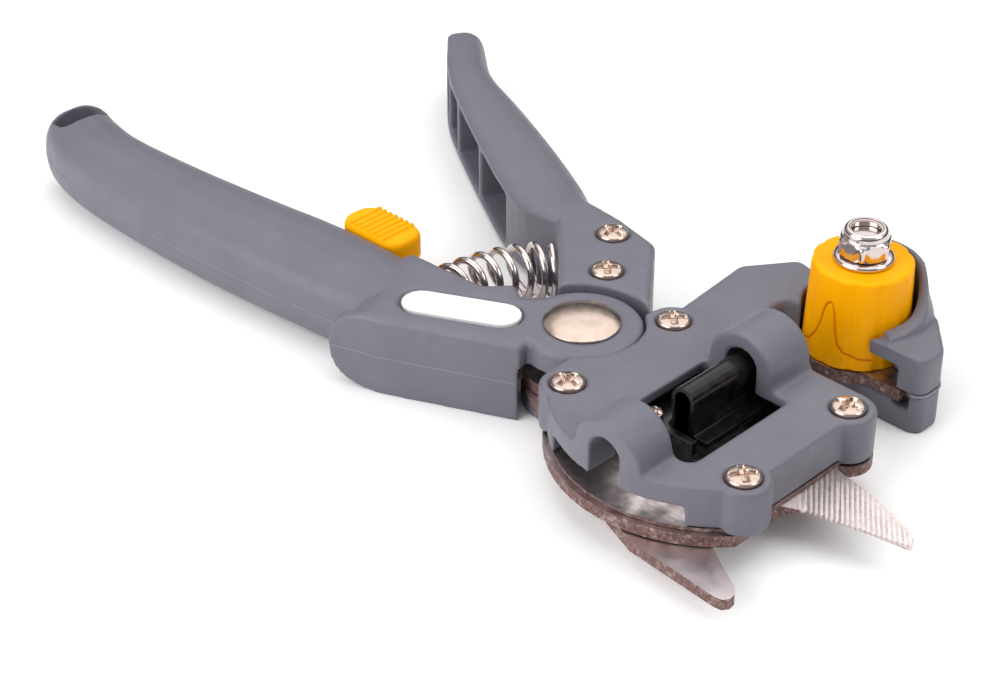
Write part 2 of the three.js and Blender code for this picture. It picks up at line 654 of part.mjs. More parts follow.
function screw(seat, bottom, head = SCREW_HEAD_RADIUS, shank = SCREW_SHANK) {
  return ([x, y]) => turned([
    [0, bottom],
    [shank, bottom],
    [shank, seat],
    [head, seat],
    [head, seat + SCREW_HEAD_HEIGHT / 3],
    [0.75 * head, seat + 0.8 * SCREW_HEAD_HEIGHT],
    [0, seat + SCREW_HEAD_HEIGHT],
  ], x, y, 16);
}

// C-arm and anvil.

const NOTCH_WIDTH = 2; // open corner beside the end of the base plate
const NOTCH_HEIGHT = 4;

function armUnderside() {
  const whole = armField(0, THROAT_EDGE + 2 * EDGE_ROUND, 0, BASE_TOP);
  const south = block(0, LIMB_EAST + POST_RADIUS, 0, ARM_SOUTH, -OVERRUN, COVER_TOP);
  const pocket = join(
    armField(PLATE_INSET - CLEARANCE, THROAT_EDGE - CLEARANCE, BASE_BOTTOM - STACK_GAP, COVER_TOP),
    block(
      TRACK_X - ANVIL_RADIUS,
      PLATE_END + CLEARANCE,
      THROAT_EDGE - CLEARANCE,
      ANVIL_Y,
      BASE_BOTTOM - STACK_GAP,
      COVER_TOP,
    ),
  );
  const nutRoom = disc(TRACK_X, ANVIL_Y, BOLT_HEAD_RADIUS + 2 * CLEARANCE, -OVERRUN, BASE_TOP, 28);
  const notch = block(
    PLATE_END - OVERRUN,
    PLATE_END + NOTCH_WIDTH,
    THROAT_EDGE,
    THROAT_EDGE + 2 * NOTCH_WIDTH,
    BASE_TOP - NOTCH_HEIGHT,
    COVER_TOP,
  );
  return cut(whole, south, pocket, nutRoom, notch);
}

const BOLT_HEAD_RADIUS = NUT_FLATS / Math.sqrt(3);
const BOLT_HEAD_HEIGHT = 4;

function anvil() {
  const bottom = circle(0, 0, ANVIL_RADIUS, 4 * ANVIL_FACETS);
  const lobed = (radius, z) => bottom.map((p, i) => {
    const dent = i % 4 === 0 ? 1 - ANVIL_GROOVE_SHARE : 1;
    return new THREE.Vector3(p.x, p.y, 0).setLength(radius * dent).add(new THREE.Vector3(TRACK_X, ANVIL_Y, z));
  });
  const body = solid(skin([
    lobed(ANVIL_RADIUS, ANVIL_BOTTOM),
    lobed(ANVIL_TOP_RADIUS, ANVIL_TOP - ANVIL_BEVEL),
    lobed(ANVIL_TOP_RADIUS - ANVIL_BEVEL, ANVIL_TOP),
  ]));
  return body.subtract(disc(TRACK_X, ANVIL_Y, BOLT_RADIUS + CLEARANCE, 0, 2 * ANVIL_TOP, 24));
}

const WASHER_TOP = ANVIL_TOP + STACK_GAP + WASHER_THICKNESS;
const NUT_BOTTOM = WASHER_TOP + STACK_GAP;
const NUT_COLLAR = 1.6;

function hexagon(bottom, top) {
  return slab(circle(TRACK_X, ANVIL_Y, BOLT_HEAD_RADIUS, 6), bottom, top);
}

function anvilBolt() {
  const headTop = BASE_BOTTOM - STACK_GAP;
  const shank = disc(TRACK_X, ANVIL_Y, BOLT_RADIUS, headTop - BOLT_HEAD_HEIGHT / 2, NUT_BOTTOM + NUT_HEIGHT, 20);
  return join(hexagon(headTop - BOLT_HEAD_HEIGHT, headTop), shank);
}

function anvilWasher() {
  const inner = BOLT_RADIUS + CLEARANCE;
  return turned([
    [inner, ANVIL_TOP + STACK_GAP],
    [WASHER_RADIUS, ANVIL_TOP + STACK_GAP],
    [WASHER_RADIUS, WASHER_TOP],
    [inner, WASHER_TOP],
    [inner, ANVIL_TOP + STACK_GAP],
  ], TRACK_X, ANVIL_Y, 28);
}

function anvilNut() {
  const top = NUT_BOTTOM + NUT_HEIGHT;
  const collar = turned([
    [0, top - NUT_COLLAR],
    [NUT_FLATS / 2, top - NUT_COLLAR],
    [NUT_FLATS / 2, top + NUT_COLLAR / 2],
    [NUT_FLATS / 2 - NUT_COLLAR / 2, top + NUT_COLLAR],
    [0, top + NUT_COLLAR],
  ], TRACK_X, ANVIL_Y, 24);
  const bore = disc(TRACK_X, ANVIL_Y, BOLT_RADIUS + CLEARANCE, 0, 2 * top, 20);
  return join(hexagon(NUT_BOTTOM, top), collar).subtract(bore);
}

// Blade carriage.

const CARRIAGE_BOTTOM = GUIDE_TOP + CLEARANCE;
const CARRIAGE_THICKNESS = 3.6;
const CARRIAGE_TOP = CARRIAGE_BOTTOM + CARRIAGE_THICKNESS;
const BLADE_TRAVEL = 2 * PIN_ORBIT * Math.sin(SWING / 2);
const CARRIAGE_NORTH = CAVITY_NORTH - BLADE_TRAVEL - 2 * CLEARANCE;
const CARRIAGE_SOUTH = -15;
const TAB_THICKNESS = 1.6;
const TAB_HEIGHT = 3.2;
const TONGUE_NORTH = 12;
const FLANGE_HALF = 6.4;
const FLANGE_THICKNESS = 0.9;
const FLANGE_TOP = CARRIAGE_TOP + STACK_GAP + FLANGE_THICKNESS;
const BLADE_WALL = 0.9;
const BLADE_HALF = TUNNEL_RADIUS - 3 * CLEARANCE;
const BLADE_TOP = TUNNEL_TOP - 3 * CLEARANCE;
const BLADE_NORTH = COVER_NORTH - FRONT_WALL / 3;
const BLADE_SOUTH = -10.5;
const BLADE_SCREW_HEAD = 2.4;
const BLADE_SCREW_SHANK = 1.2;
const EAR_HALF = FLANGE_HALF + BLADE_SCREW_HEAD;
const BLADE_SCREW = [TRACK_X - EAR_HALF + BLADE_SCREW_HEAD, BLADE_SOUTH - BLADE_SCREW_HEAD / 2];
const GUIDE_STUD = [
  BLADE_SCREW[0] - EAR_HALF + BLADE_SCREW_HEAD,
  CARRIAGE_NORTH - BLADE_SCREW_HEAD - CLEARANCE,
];
const STUD_HEIGHT = 0.9;

function carriage() {
  const half = CAVITY_HALF - CLEARANCE;
  const plate = block(
    HEAD_X - half,
    HEAD_X + half,
    CARRIAGE_SOUTH,
    CARRIAGE_NORTH,
    CARRIAGE_BOTTOM,
    CARRIAGE_TOP,
  );
  const tongue = block(
    TRACK_X - FLANGE_HALF,
    TRACK_X + FLANGE_HALF,
    CARRIAGE_NORTH - OVERRUN,
    TONGUE_NORTH,
    CARRIAGE_BOTTOM,
    CARRIAGE_TOP,
  );
  const tab = block(
    TRACK_X - FLANGE_HALF + BLADE_SCREW_HEAD,
    TRACK_X + FLANGE_HALF,
    CARRIAGE_SOUTH,
    CARRIAGE_SOUTH + TAB_THICKNESS,
    CARRIAGE_BOTTOM,
    CARRIAGE_TOP + TAB_HEIGHT,
  );
  const crossSlot = slab(rounded([
    [PIN_PLACE[0] - PIN_RADIUS - OVERRUN, PIN_PLACE[1] - PIN_RADIUS - CLEARANCE, PIN_RADIUS],
    [PIN_ORBIT + PIN_RADIUS + OVERRUN, PIN_PLACE[1] - PIN_RADIUS - CLEARANCE, PIN_RADIUS],
    [PIN_ORBIT + PIN_RADIUS + OVERRUN, PIN_PLACE[1] + PIN_RADIUS + CLEARANCE, PIN_RADIUS],
    [PIN_PLACE[0] - PIN_RADIUS - OVERRUN, PIN_PLACE[1] + PIN_RADIUS + CLEARANCE, PIN_RADIUS],
  ]), 0, CARRIAGE_TOP + OVERRUN);
  const hole = disc(...BLADE_SCREW, BLADE_SCREW_SHANK + CLEARANCE, 0, COVER_TOP, 12);
  const stud = disc(...GUIDE_STUD, BLADE_SCREW_HEAD, CARRIAGE_BOTTOM, CARRIAGE_TOP + STUD_HEIGHT, 20);
  return cut(join(plate, tongue, tab, stud), crossSlot, hole);
}

// Folded strip with an omega-shaped section, ground sharp at its front.
function omegaBlade() {
  const crown = circle(0, BLADE_TOP - BLADE_HALF, BLADE_HALF, 10, 0, Math.PI);
  const hollow = circle(0, BLADE_TOP - BLADE_HALF, BLADE_HALF - BLADE_WALL, 10, 0, Math.PI).reverse();
  const foot = FLANGE_TOP - FLANGE_THICKNESS;
  const neck = BLADE_HALF - BLADE_WALL / 2;
  const outline = [
    ...crown,
    new THREE.Vector2(-neck, FLANGE_TOP + 2 * FLANGE_THICKNESS),
    new THREE.Vector2(-neck - BLADE_WALL, FLANGE_TOP),
    new THREE.Vector2(-FLANGE_HALF, FLANGE_TOP),
    new THREE.Vector2(-FLANGE_HALF, foot),
    new THREE.Vector2(-neck, foot),
    new THREE.Vector2(-neck + BLADE_WALL, FLANGE_TOP + FLANGE_THICKNESS),
    ...hollow,
    new THREE.Vector2(neck - BLADE_WALL, FLANGE_TOP + FLANGE_THICKNESS),
    new THREE.Vector2(neck, foot),
    new THREE.Vector2(FLANGE_HALF, foot),
    new THREE.Vector2(FLANGE_HALF, FLANGE_TOP),
    new THREE.Vector2(neck + BLADE_WALL, FLANGE_TOP),
    new THREE.Vector2(neck, FLANGE_TOP + 2 * FLANGE_THICKNESS),
  ];
  const strip = tunnel(outline, BLADE_SOUTH, BLADE_NORTH);
  const ear = block(
    TRACK_X - EAR_HALF,
    TRACK_X - BLADE_HALF + BLADE_WALL,
    BLADE_SCREW[1] - BLADE_SCREW_HEAD / 2,
    BLADE_SOUTH + 2 * BLADE_SCREW_HEAD,
    foot,
    FLANGE_TOP,
  );
  return cut(join(strip, ear), disc(...BLADE_SCREW, BLADE_SCREW_SHANK + CLEARANCE, 0, COVER_TOP, 12));
}

function drivePin() {
  return disc(...PIN_PLACE, PIN_RADIUS, LOWER_BOTTOM + STACK_GAP, CARRIAGE_TOP - CLEARANCE, 16);
}

// Pivot.

function pivotRivet() {
  const seat = HANDLE_HEIGHT + STACK_GAP;
  return turned([
    [0, 0],
    [RIVET_TAIL_RADIUS, 0],
    [RIVET_TAIL_RADIUS, RIVET_TAIL_HEIGHT],
    [RIVET_SHANK_RADIUS, RIVET_TAIL_HEIGHT],
    [RIVET_SHANK_RADIUS, seat],
    [RIVET_HEAD_RADIUS, seat],
    [RIVET_HEAD_RADIUS, seat + RIVET_HEAD_HEIGHT / 5],
    [0.8 * RIVET_HEAD_RADIUS, seat + 0.65 * RIVET_HEAD_HEIGHT],
    [0.45 * RIVET_HEAD_RADIUS, seat + 0.92 * RIVET_HEAD_HEIGHT],
    [0, seat + RIVET_HEAD_HEIGHT],
  ], 0, 0, 36);
}

function pivotSpacer() {
  const inner = RIVET_SHANK_RADIUS + CLEARANCE;
  return turned([
    [inner, MOULD_BOTTOM],
    [SPACER_RADIUS, MOULD_BOTTOM],
    [SPACER_RADIUS, BOSS_BOTTOM - STACK_GAP],
    [inner, BOSS_BOTTOM - STACK_GAP],
    [inner, MOULD_BOTTOM],
  ], 0, 0, 28);
}

// Long lever.

const LONG_INNER_SHARES = [
  [-0.14, -0.005], [-0.2, -0.024], [-0.3, -0.019], [-0.433, -0.021], [-0.58, -0.04], [-0.733, -0.057],
  [-0.867, -0.063], [-0.94, -0.05], [-0.99, -0.036], [-1.013, -0.042], [-1.022, -0.066],
];
const LONG_OUTER_SHARES = [
  [-0.14, -0.15], [-0.22, -0.163], [-0.32, -0.172], [-0.433, -0.184], [-0.58, -0.194], [-0.733, -0.194],
  [-0.867, -0.187], [-0.94, -0.176], [-0.985, -0.16], [-1.01, -0.141], [-1.022, -0.112],
];
const LONG_LIFT_SHARES = [
  [1, 0], [1, 0], [1, 0], [1, 0], [1, 0], [1, 0], [1, 0], [0.98, 0], [0.92, 0], [0.8, 0], [0.5, 0],
];
const SHOULDER_SHARES = [
  [-0.3, -0.16, 0], [-0.295, -0.2, 0.02], [-0.255, -0.212, 0.01], [-0.018, -0.1, 0], [-0.025, -0.06, 0],
  [-0.06, 0.03, 0], [-0.104, -0.006, 0], [-0.135, 0.012, 0.01], [-0.165, -0.022, 0.02], [-0.3, -0.03, 0],
];
const SHOULDER_LENGTH = 48; // its long side, rounded at the handle end when seen from the side
const SHOULDER_END_ROUND = 8;
const SHOULDER_TURN = 25 * Math.PI / 180;
const INLAY_LENGTH = 26.5;
const INLAY_WIDTH = 9.5;
const INLAY_DEPTH = 1.2;
const INLAY_GROOVE = 0.6;
const INLAY_PLACE_SHARES = [-0.143, -0.085];
const INLAY_TURN = 27.5 * Math.PI / 180;
const HANG_HOLE_SHARES = [
  [-0.957, -0.142, 0.01], [-0.957, -0.054, 0.008], [-0.998, -0.054, 0.012], [-1.011, -0.086, 0.02],
  [-1.0, -0.134, 0.012],
];

function lifted(shares) {
  return shares.map(([x]) => new THREE.Vector3(x * HANDLE_HEIGHT / 2, 0, 0));
}

function corners(shares, length) {
  return rounded(shares.map(([x, y, r]) => [x * length, y * length, r * length]));
}

function stadium(length, width) {
  const end = (length - width) / 2;
  const [x, y] = INLAY_PLACE_SHARES.map((share) => share * LONG_REACH);
  const east = circle(end, 0, width / 2, 8, -Math.PI / 2, Math.PI / 2);
  const west = circle(-end, 0, width / 2, 8, Math.PI / 2, 1.5 * Math.PI);
  return [...east, ...west].map((p) => p.rotateAround(ORIGIN, INLAY_TURN).add(new THREE.Vector2(x, y)));
}

// Stepped stub that a spring end sits on: its foot reaches back into the lever.
function springSeat(foot, footRadius, length, radius) {
  const profile = [
    [0, -foot],
    [footRadius, -foot],
    [footRadius, -CLEARANCE],
    [radius, -CLEARANCE],
    [0.8 * radius, length],
    [0, length],
  ];
  return new THREE.LatheGeometry(profile.map(([r, y]) => new THREE.Vector2(r, y)), 16);
}

function placedAlong(geometry, from, direction) {
  const turn = new THREE.Quaternion().setFromUnitVectors(new THREE.Vector3(0, 1, 0), direction);
  geometry.applyQuaternion(turn);
  geometry.translate(from.x, from.y, from.z);
  return solid(geometry);
}

// The shoulder seen square to its long side: both corners at the handle end are round.
function shoulderProfile() {
  const outline = rounded([
    [-SHOULDER_LENGTH, 0, SHOULDER_END_ROUND],
    [SHOULDER_LENGTH, 0],
    [SHOULDER_LENGTH, HANDLE_HEIGHT],
    [-SHOULDER_LENGTH, HANDLE_HEIGHT, SHOULDER_END_ROUND],
  ], 6);
  const prism = new THREE.ExtrudeGeometry(new THREE.Shape(outline), { depth: 2 * LONG_REACH, bevelEnabled: false });
  prism.rotateX(Math.PI / 2);
  prism.translate(0, LONG_REACH, 0);
  prism.rotateZ(SHOULDER_TURN);
  return solid(prism);
}

function longHandle() {
  const grip = lever(
    scaled(LONG_INNER_SHARES, LONG_REACH),
    scaled(LONG_OUTER_SHARES, LONG_REACH),
    lifted(LONG_LIFT_SHARES),
    30,
    24,
  );
  const shoulder = slab(corners(SHOULDER_SHARES, LONG_REACH), 0, HANDLE_HEIGHT, EDGE_ROUND)
    .intersect(shoulderProfile());
  const boss = slab(circle(0, 0, BOSS_RADIUS, 40), BOSS_BOTTOM, HANDLE_HEIGHT, EDGE_ROUND);
  const reach = 3 * BOSS_RADIUS;
  const room = block(-SWEEP_MARGIN - CLEARANCE, reach, -reach, reach, -OVERRUN, BOSS_BOTTOM)
    .rotate([0, 0, 45]);
  const eye = disc(0, 0, RIVET_SHANK_RADIUS + CLEARANCE, 0, HANDLE_HEIGHT + OVERRUN, 28);
  const slot = tang(TANG_LENGTH, TANG_WIDTH, Math.PI + TANG_ANGLE, BASE_BOTTOM, BASE_TOP, CLEARANCE);
  const recess = slab(
    stadium(INLAY_LENGTH, INLAY_WIDTH),
    HANDLE_HEIGHT - INLAY_DEPTH,
    HANDLE_HEIGHT + OVERRUN,
  );
  const hole = slab(corners(HANG_HOLE_SHARES, LONG_REACH), -OVERRUN, HANDLE_HEIGHT + OVERRUN);
  const peg = SPRING_SMALL - 2 * WIRE_RADIUS;
  const stub = springSeat(SEAT_FOOT, peg + CLEARANCE, PEG_LENGTH, peg);
  const seat = placedAlong(stub, SPRING_FROM, SPRING_AHEAD);
  return cut(join(grip, shoulder, boss, seat), room, eye, slot, recess, hole, sliderRoom());
}

function handleInlay() {
  return slab(
    stadium(INLAY_LENGTH - 2 * INLAY_GROOVE, INLAY_WIDTH - 2 * INLAY_GROOVE),
    HANDLE_HEIGHT - INLAY_DEPTH + STACK_GAP,
    HANDLE_HEIGHT,
  );
}

// Lock slider.

const PAD_LENGTH = 18.2;
const PAD_WIDTH = 10.2;
const PAD_HEIGHT = 6;
const PAD_TOP = 16.8;
const PAD_X = -0.392 * LONG_REACH;
const PAD_Y = 0.0015 * LONG_REACH;
const PAD_RIBS = 7;
const RIB_PITCH = 1.7;
const RIB_HEIGHT = 0.7;
const LOCK_TRAVEL = 5;
const STEM_LENGTH = 8;
const STEM_DEPTH = 5;
const STEM_HEIGHT = 3;

function padOutline(gap, travel) {
  const x0 = PAD_X - PAD_LENGTH / 2 - gap;
  const x1 = PAD_X + PAD_LENGTH / 2 + travel + gap;
  const y0 = PAD_Y - PAD_WIDTH / 2 - gap;
  const y1 = PAD_Y + PAD_WIDTH / 2 + gap;
  const corner = 0.4 * PAD_WIDTH + gap;
  return rounded([[x0, y0, corner], [x1, y0, corner], [x1, y1, corner], [x0, y1, corner]]);
}

function stem(gap, travel) {
  const top = PAD_TOP - PAD_HEIGHT;
  return block(
    PAD_X - STEM_LENGTH / 2 - gap,
    PAD_X + STEM_LENGTH / 2 + travel + gap,
    PAD_Y - PAD_WIDTH / 2 - STEM_DEPTH - gap,
    PAD_Y + gap,
    top - STEM_HEIGHT - gap,
    top + RIB_HEIGHT,
  );
}

function sliderRoom() {
  const pad = slab(padOutline(CLEARANCE, LOCK_TRAVEL), PAD_TOP - PAD_HEIGHT - CLEARANCE, HANDLE_HEIGHT + OVERRUN);
  return join(pad, stem(CLEARANCE, LOCK_TRAVEL));
}

function lockSlider() {
  const pad = slab(padOutline(0, 0), PAD_TOP - PAD_HEIGHT, PAD_TOP, EDGE_ROUND);
  const first = PAD_X - RIB_PITCH * (PAD_RIBS - 1) / 2;
  const ribs = Array.from({ length: PAD_RIBS }, (_, i) => block(
    first + RIB_PITCH * i - RIB_PITCH / 4,
    first + RIB_PITCH * i + RIB_PITCH / 4,
    PAD_Y - PAD_WIDTH / 2 + EDGE_ROUND / 2,
    PAD_Y + PAD_WIDTH / 2 - EDGE_ROUND / 2,
    PAD_TOP - EDGE_ROUND,
    PAD_TOP + RIB_HEIGHT,
  ));
  return join(pad, stem(0, 0), ...ribs);
}

// Short lever.

const SHORT_TANG_ANGLE = 122 * Math.PI / 180;
const SHORT_INNER_SHARES = [
  [-0.171, 0.161], [-0.221, 0.189], [-0.3, 0.19], [-0.357, 0.211], [-0.489, 0.286], [-0.623, 0.369],
  [-0.693, 0.416], [-0.741, 0.455], [-0.793, 0.507], [-0.832, 0.547], [-0.85, 0.577],
];
const SHORT_OUTER_SHARES = [
  [-0.07, 0.225], [-0.13, 0.24], [-0.239, 0.291], [-0.291, 0.326], [-0.425, 0.396], [-0.569, 0.461],
  [-0.649, 0.493], [-0.701, 0.524], [-0.754, 0.568], [-0.8, 0.604], [-0.835, 0.612],
];
const SHORT_LIFT_SHARES = [
  [1, 0], [1, 0], [1, 0], [1, 0], [1, 0], [1, 0], [1, 0], [1, 0], [0.96, 0], [0.86, 0], [0.5, 0],
];
const BLOCK_SCREW_SHARES = [[-0.139, 0.219], [-0.073, 0.133]];
const BLOCK_SCREWS = BLOCK_SCREW_SHARES.map(([x, y]) => [x * SHORT_REACH, y * SHORT_REACH]);
const SHORT_BLOCK_SHARES = [
  [0.043, 0.099, 0], [-0.0725, 0.242, 0.02], [-0.16, 0.262, 0], [-0.24, 0.27, 0], [-0.27, 0.2, 0],
];
const SHORT_BLOCK_FOOT_SHARES = [[-0.088, 0.043, 0], [0, 0, 0]];
const BLOCK_GAP = 2.6; // between the boss and the block that curves round it
const CHANNEL_WALL = 2.8;
const RIB_WALL = 1.8;
const CHANNEL_CELLS = 5;
const CHANNEL_FROM_SHARE = 0.3;
const CHANNEL_TO_SHARE = 0.84;
const COIL_ROOM = 7.6; // round nest of the spring's large end

function channelCells() {
  const inner = new THREE.CatmullRomCurve3(scaled(SHORT_INNER_SHARES, SHORT_REACH));
  const outer = new THREE.CatmullRomCurve3(scaled(SHORT_OUTER_SHARES, SHORT_REACH));
  const step = (CHANNEL_TO_SHARE - CHANNEL_FROM_SHARE) / CHANNEL_CELLS;
  const flat = (p) => new THREE.Vector2(p.x, p.y);
  return Array.from({ length: CHANNEL_CELLS }, (_, i) => {
    const from = CHANNEL_FROM_SHARE + step * i;
    const mouth = [0, 0.5, 1].map((share) => inner.getPoint(from + step * share));
    const back = [0, 0.5, 1].map((share) => outer.getPoint(from + step * share));
    const along = mouth[2].clone().sub(mouth[0]).normalize().multiplyScalar(RIB_WALL / 2);
    const across = mouth.map((p, k) => back[k].clone().sub(p).normalize());
    const shift = [along, new THREE.Vector3(), along.clone().negate()];
    const rim = mouth.map((p, k) => flat(p.clone().addScaledVector(across[k], -OVERRUN).add(shift[k])));
    const deep = back.map((p, k) => flat(p.clone().addScaledVector(across[k], -CHANNEL_WALL).add(shift[k])));
    return slab([...rim, ...deep.reverse()], CHANNEL_WALL, HANDLE_HEIGHT - CHANNEL_WALL);
  });
}

// Block of the short lever; its left face is square to the spring that bears on it.
function blockOutline() {
  const reach = SPRING_LARGE + 2 * WIRE_RADIUS;
  const face = SPRING_TO.clone().addScaledVector(SPRING_BACK, -2 * CLEARANCE);
  const sized = (shares) => shares.map((row) => row.map((share) => share * SHORT_REACH));
  return rounded([
    ...sized(SHORT_BLOCK_SHARES),
    [face.x + reach * SPRING_BACK.y, face.y - reach * SPRING_BACK.x],
    [face.x - reach * SPRING_BACK.y, face.y + reach * SPRING_BACK.x, EDGE_ROUND],
    ...sized(SHORT_BLOCK_FOOT_SHARES),
  ]);
}

function shortHandle() {
  const grip = lever(
    scaled(SHORT_INNER_SHARES, SHORT_REACH),
    scaled(SHORT_OUTER_SHARES, SHORT_REACH),
    lifted(SHORT_LIFT_SHARES),
    26,
    24,
    3 * EDGE_ROUND,
  );
  const body = slab(blockOutline(), 0, HANDLE_HEIGHT, EDGE_ROUND);
  const stub = springSeat(OVERRUN, SPRING_LARGE + WIRE_RADIUS, POST_LENGTH, SPRING_LARGE - 3 * WIRE_RADIUS);
  const post = placedAlong(stub, SPRING_TO, SPRING_BACK);
  const coilRoom = new THREE.CylinderGeometry(COIL_ROOM, COIL_ROOM, COIL_ROOM, 32);
  coilRoom.translate(0, COIL_ROOM / 2 - 3 * CLEARANCE, 0);
  const nest = placedAlong(coilRoom, SPRING_TO, SPRING_BACK);
  const room = disc(0, 0, BOSS_RADIUS + BLOCK_GAP, FLOOR_DISC_THICKNESS, HANDLE_HEIGHT + OVERRUN, 40);
  const floor = disc(0, 0, PIVOT_EYE_RADIUS, 0, FLOOR_DISC_THICKNESS, 40);
  const eye = disc(0, 0, RIVET_SHANK_RADIUS + CLEARANCE, -OVERRUN, HANDLE_HEIGHT, 28);
  const sink = disc(0, 0, RIVET_TAIL_RADIUS + CLEARANCE, -OVERRUN, RIVET_TAIL_HEIGHT + CLEARANCE, 28);
  const slot = tang(TANG_LENGTH, TANG_WIDTH, SHORT_TANG_ANGLE, LOWER_BOTTOM, LOWER_TOP, CLEARANCE);
  const screwRoom = BLOCK_SCREWS.flatMap(([x, y]) => [
    disc(x, y, SCREW_SHANK + CLEARANCE, LOWER_BOTTOM, HANDLE_HEIGHT + OVERRUN, 12),
    disc(x, y, SCREW_HEAD_RADIUS + CLEARANCE, HANDLE_HEIGHT - SCREW_SINK, HANDLE_HEIGHT + OVERRUN, 24),
  ]);
  const whole = join(cut(join(cut(grip, nest), body), room, ...channelCells()), floor, post);
  return cut(whole, eye, sink, slot, ...screwRoom);
}

// Return spring.

const SPRING_SMALL = 5; // radii of the coil's middle line
const SPRING_LARGE = 6;
const SPRING_ORBIT_SHARES = [0.257, -0.022]; // the coil is bent round the pivot, from the long lever on
const SPRING_START = 184 * Math.PI / 180;
const SPRING_SWEEP = -42 * Math.PI / 180;
const PEG_LENGTH = 3.4;
const POST_LENGTH = 4;
const SPRING_FROM = springMiddle(0);
const SPRING_TO = springMiddle(1);
const SPRING_AHEAD = springAhead(0);
const SPRING_BACK = springAhead(1).negate();
const SEAT_FOOT = 7; // depth of the small end's seat in the long lever

function springMiddle(share) {
  const [near, change] = SPRING_ORBIT_SHARES.map((part) => part * LONG_REACH);
  const angle = SPRING_START + SPRING_SWEEP * share;
  const radius = near + change * share;
  return new THREE.Vector3(radius * Math.cos(angle), radius * Math.sin(angle), HANDLE_HEIGHT / 2);
}

function springAhead(share) {
  const step = 1e-4;
  return springMiddle(share + step).sub(springMiddle(share - step)).normalize();
}

// Places along the coil: the share of its length, and the unit direction from its middle line.
function springPlaces(steps) {
  const lead = 2 * WIRE_RADIUS / SPRING_FROM.distanceTo(SPRING_TO);
  const place = (share, wound) => {
    const side = springAhead(share).cross(new THREE.Vector3(0, 0, 1));
    const angle = 2 * Math.PI * SPRING_TURNS * wound;
    const outward = side.multiplyScalar(Math.sin(angle)).setZ(Math.cos(angle));
    const radius = SPRING_SMALL + (SPRING_LARGE - SPRING_SMALL) * wound;
    return { outward, point: springMiddle(share).addScaledVector(outward, radius) };
  };
  const coil = Array.from({ length: steps + 1 }, (_, i) => place(lead + (1 - 2 * lead) * i / steps, i / steps));
  return [place(0, 0), ...coil, place(1, 1)];
}

function returnSpring() {
  const places = springPlaces(8 * SPRING_TURNS);
  const sides = 5;
  const rings = places.map(({ outward, point }, i) => {
    const before = places[Math.max(i - 1, 0)].point;
    const after = places[Math.min(i + 1, places.length - 1)].point;
    const ahead = after.clone().sub(before).normalize();
    const first = outward.clone().addScaledVector(ahead, -outward.dot(ahead)).normalize();
    const second = ahead.clone().cross(first);
    return Array.from({ length: sides }, (_, k) => {
      const angle = 2 * Math.PI * k / sides;
      return point.clone()
        .addScaledVector(first, WIRE_RADIUS * Math.cos(angle))
        .addScaledVector(second, WIRE_RADIUS * Math.sin(angle));
    });
  });
  return skin(rings);
}

function springGap() {
  const line = springPlaces(48 * SPRING_TURNS).map(({ point }) => point);
  const skip = 24;
  let least = Infinity;
  for (let i = 0; i < line.length; i += 1) {
    for (let k = i + skip; k < line.length; k += 1) {
      least = Math.min(least, line[i].distanceTo(line[k]));
    }
  }
  return least - 2 * WIRE_RADIUS;
}

console.log(`return spring, least gap to itself: ${springGap().toFixed(2)} mm`);

// Scene graph.

const DARK_PLASTIC = { color: 0x5c5b64, roughness: 0.62, metalness: 0 };
const YELLOW_PLASTIC = { color: 0xf7a800, roughness: 0.42, metalness: 0 };
const WHITE_PLASTIC = { color: 0xf2f2f0, roughness: 0.4, metalness: 0 };
const GROUND_STEEL = { color: 0x9a9690, roughness: 0.34, metalness: 1 };
const BLACK_STEEL = { color: 0x1c1b1c, roughness: 0.36, metalness: 1 };
const CHROME = { color: 0xd9d9dc, roughness: 0.14, metalness: 1 };
const WARM_NICKEL = { color: 0xd2c2a8, roughness: 0.26, metalness: 1 };

const pruner = new THREE.Group();

function add(group, name, body, look) {
  const geometry = body.isBufferGeometry ? body : geometryOf(body);
  const mesh = new THREE.Mesh(geometry, new THREE.MeshStandardMaterial(look));
  mesh.name = name;
  group.add(mesh);
  return mesh;
}

const fixedLever = new THREE.Group();
const movingLever = new THREE.Group();
const slidingBlade = new THREE.Group();
pruner.add(fixedLever, movingLever, slidingBlade);

add(fixedLever, 'long_handle', longHandle(), DARK_PLASTIC);
add(fixedLever, 'handle_inlay', handleInlay(), WHITE_PLASTIC);
add(fixedLever, 'base_plate', basePlate(), GROUND_STEEL);
add(fixedLever, 'guide_plate', guidePlate(), GROUND_STEEL);
add(fixedLever, 'head_cover', headCover(), DARK_PLASTIC);
SCREWS.map(screw(COVER_TOP - SCREW_SINK + STACK_GAP, BASE_BOTTOM))
  .forEach((body, i) => add(fixedLever, `cover_screw_${i + 1}`, body, WARM_NICKEL));
add(fixedLever, 'arm_underside', armUnderside(), DARK_PLASTIC);
add(fixedLever, 'anvil', anvil(), YELLOW_PLASTIC);
add(fixedLever, 'anvil_bolt', anvilBolt(), CHROME);
add(fixedLever, 'anvil_washer', anvilWasher(), CHROME);
add(fixedLever, 'anvil_nut', anvilNut(), CHROME);
add(fixedLever, 'pivot_rivet', pivotRivet(), WARM_NICKEL);
add(fixedLever, 'pivot_spacer', pivotSpacer(), CHROME);
add(fixedLever, 'return_spring', returnSpring(), CHROME);
add(fixedLever, 'lock_slider', lockSlider(), YELLOW_PLASTIC);

add(movingLever, 'short_handle', shortHandle(), DARK_PLASTIC);
BLOCK_SCREWS.map(screw(HANDLE_HEIGHT - SCREW_SINK + STACK_GAP, LOWER_BOTTOM + STACK_GAP))
  .forEach((body, i) => add(movingLever, `handle_screw_${i + 1}`, body, WARM_NICKEL));
add(movingLever, 'plain_blade', plainBlade(), GROUND_STEEL);
add(movingLever, 'drive_pin', drivePin(), CHROME);

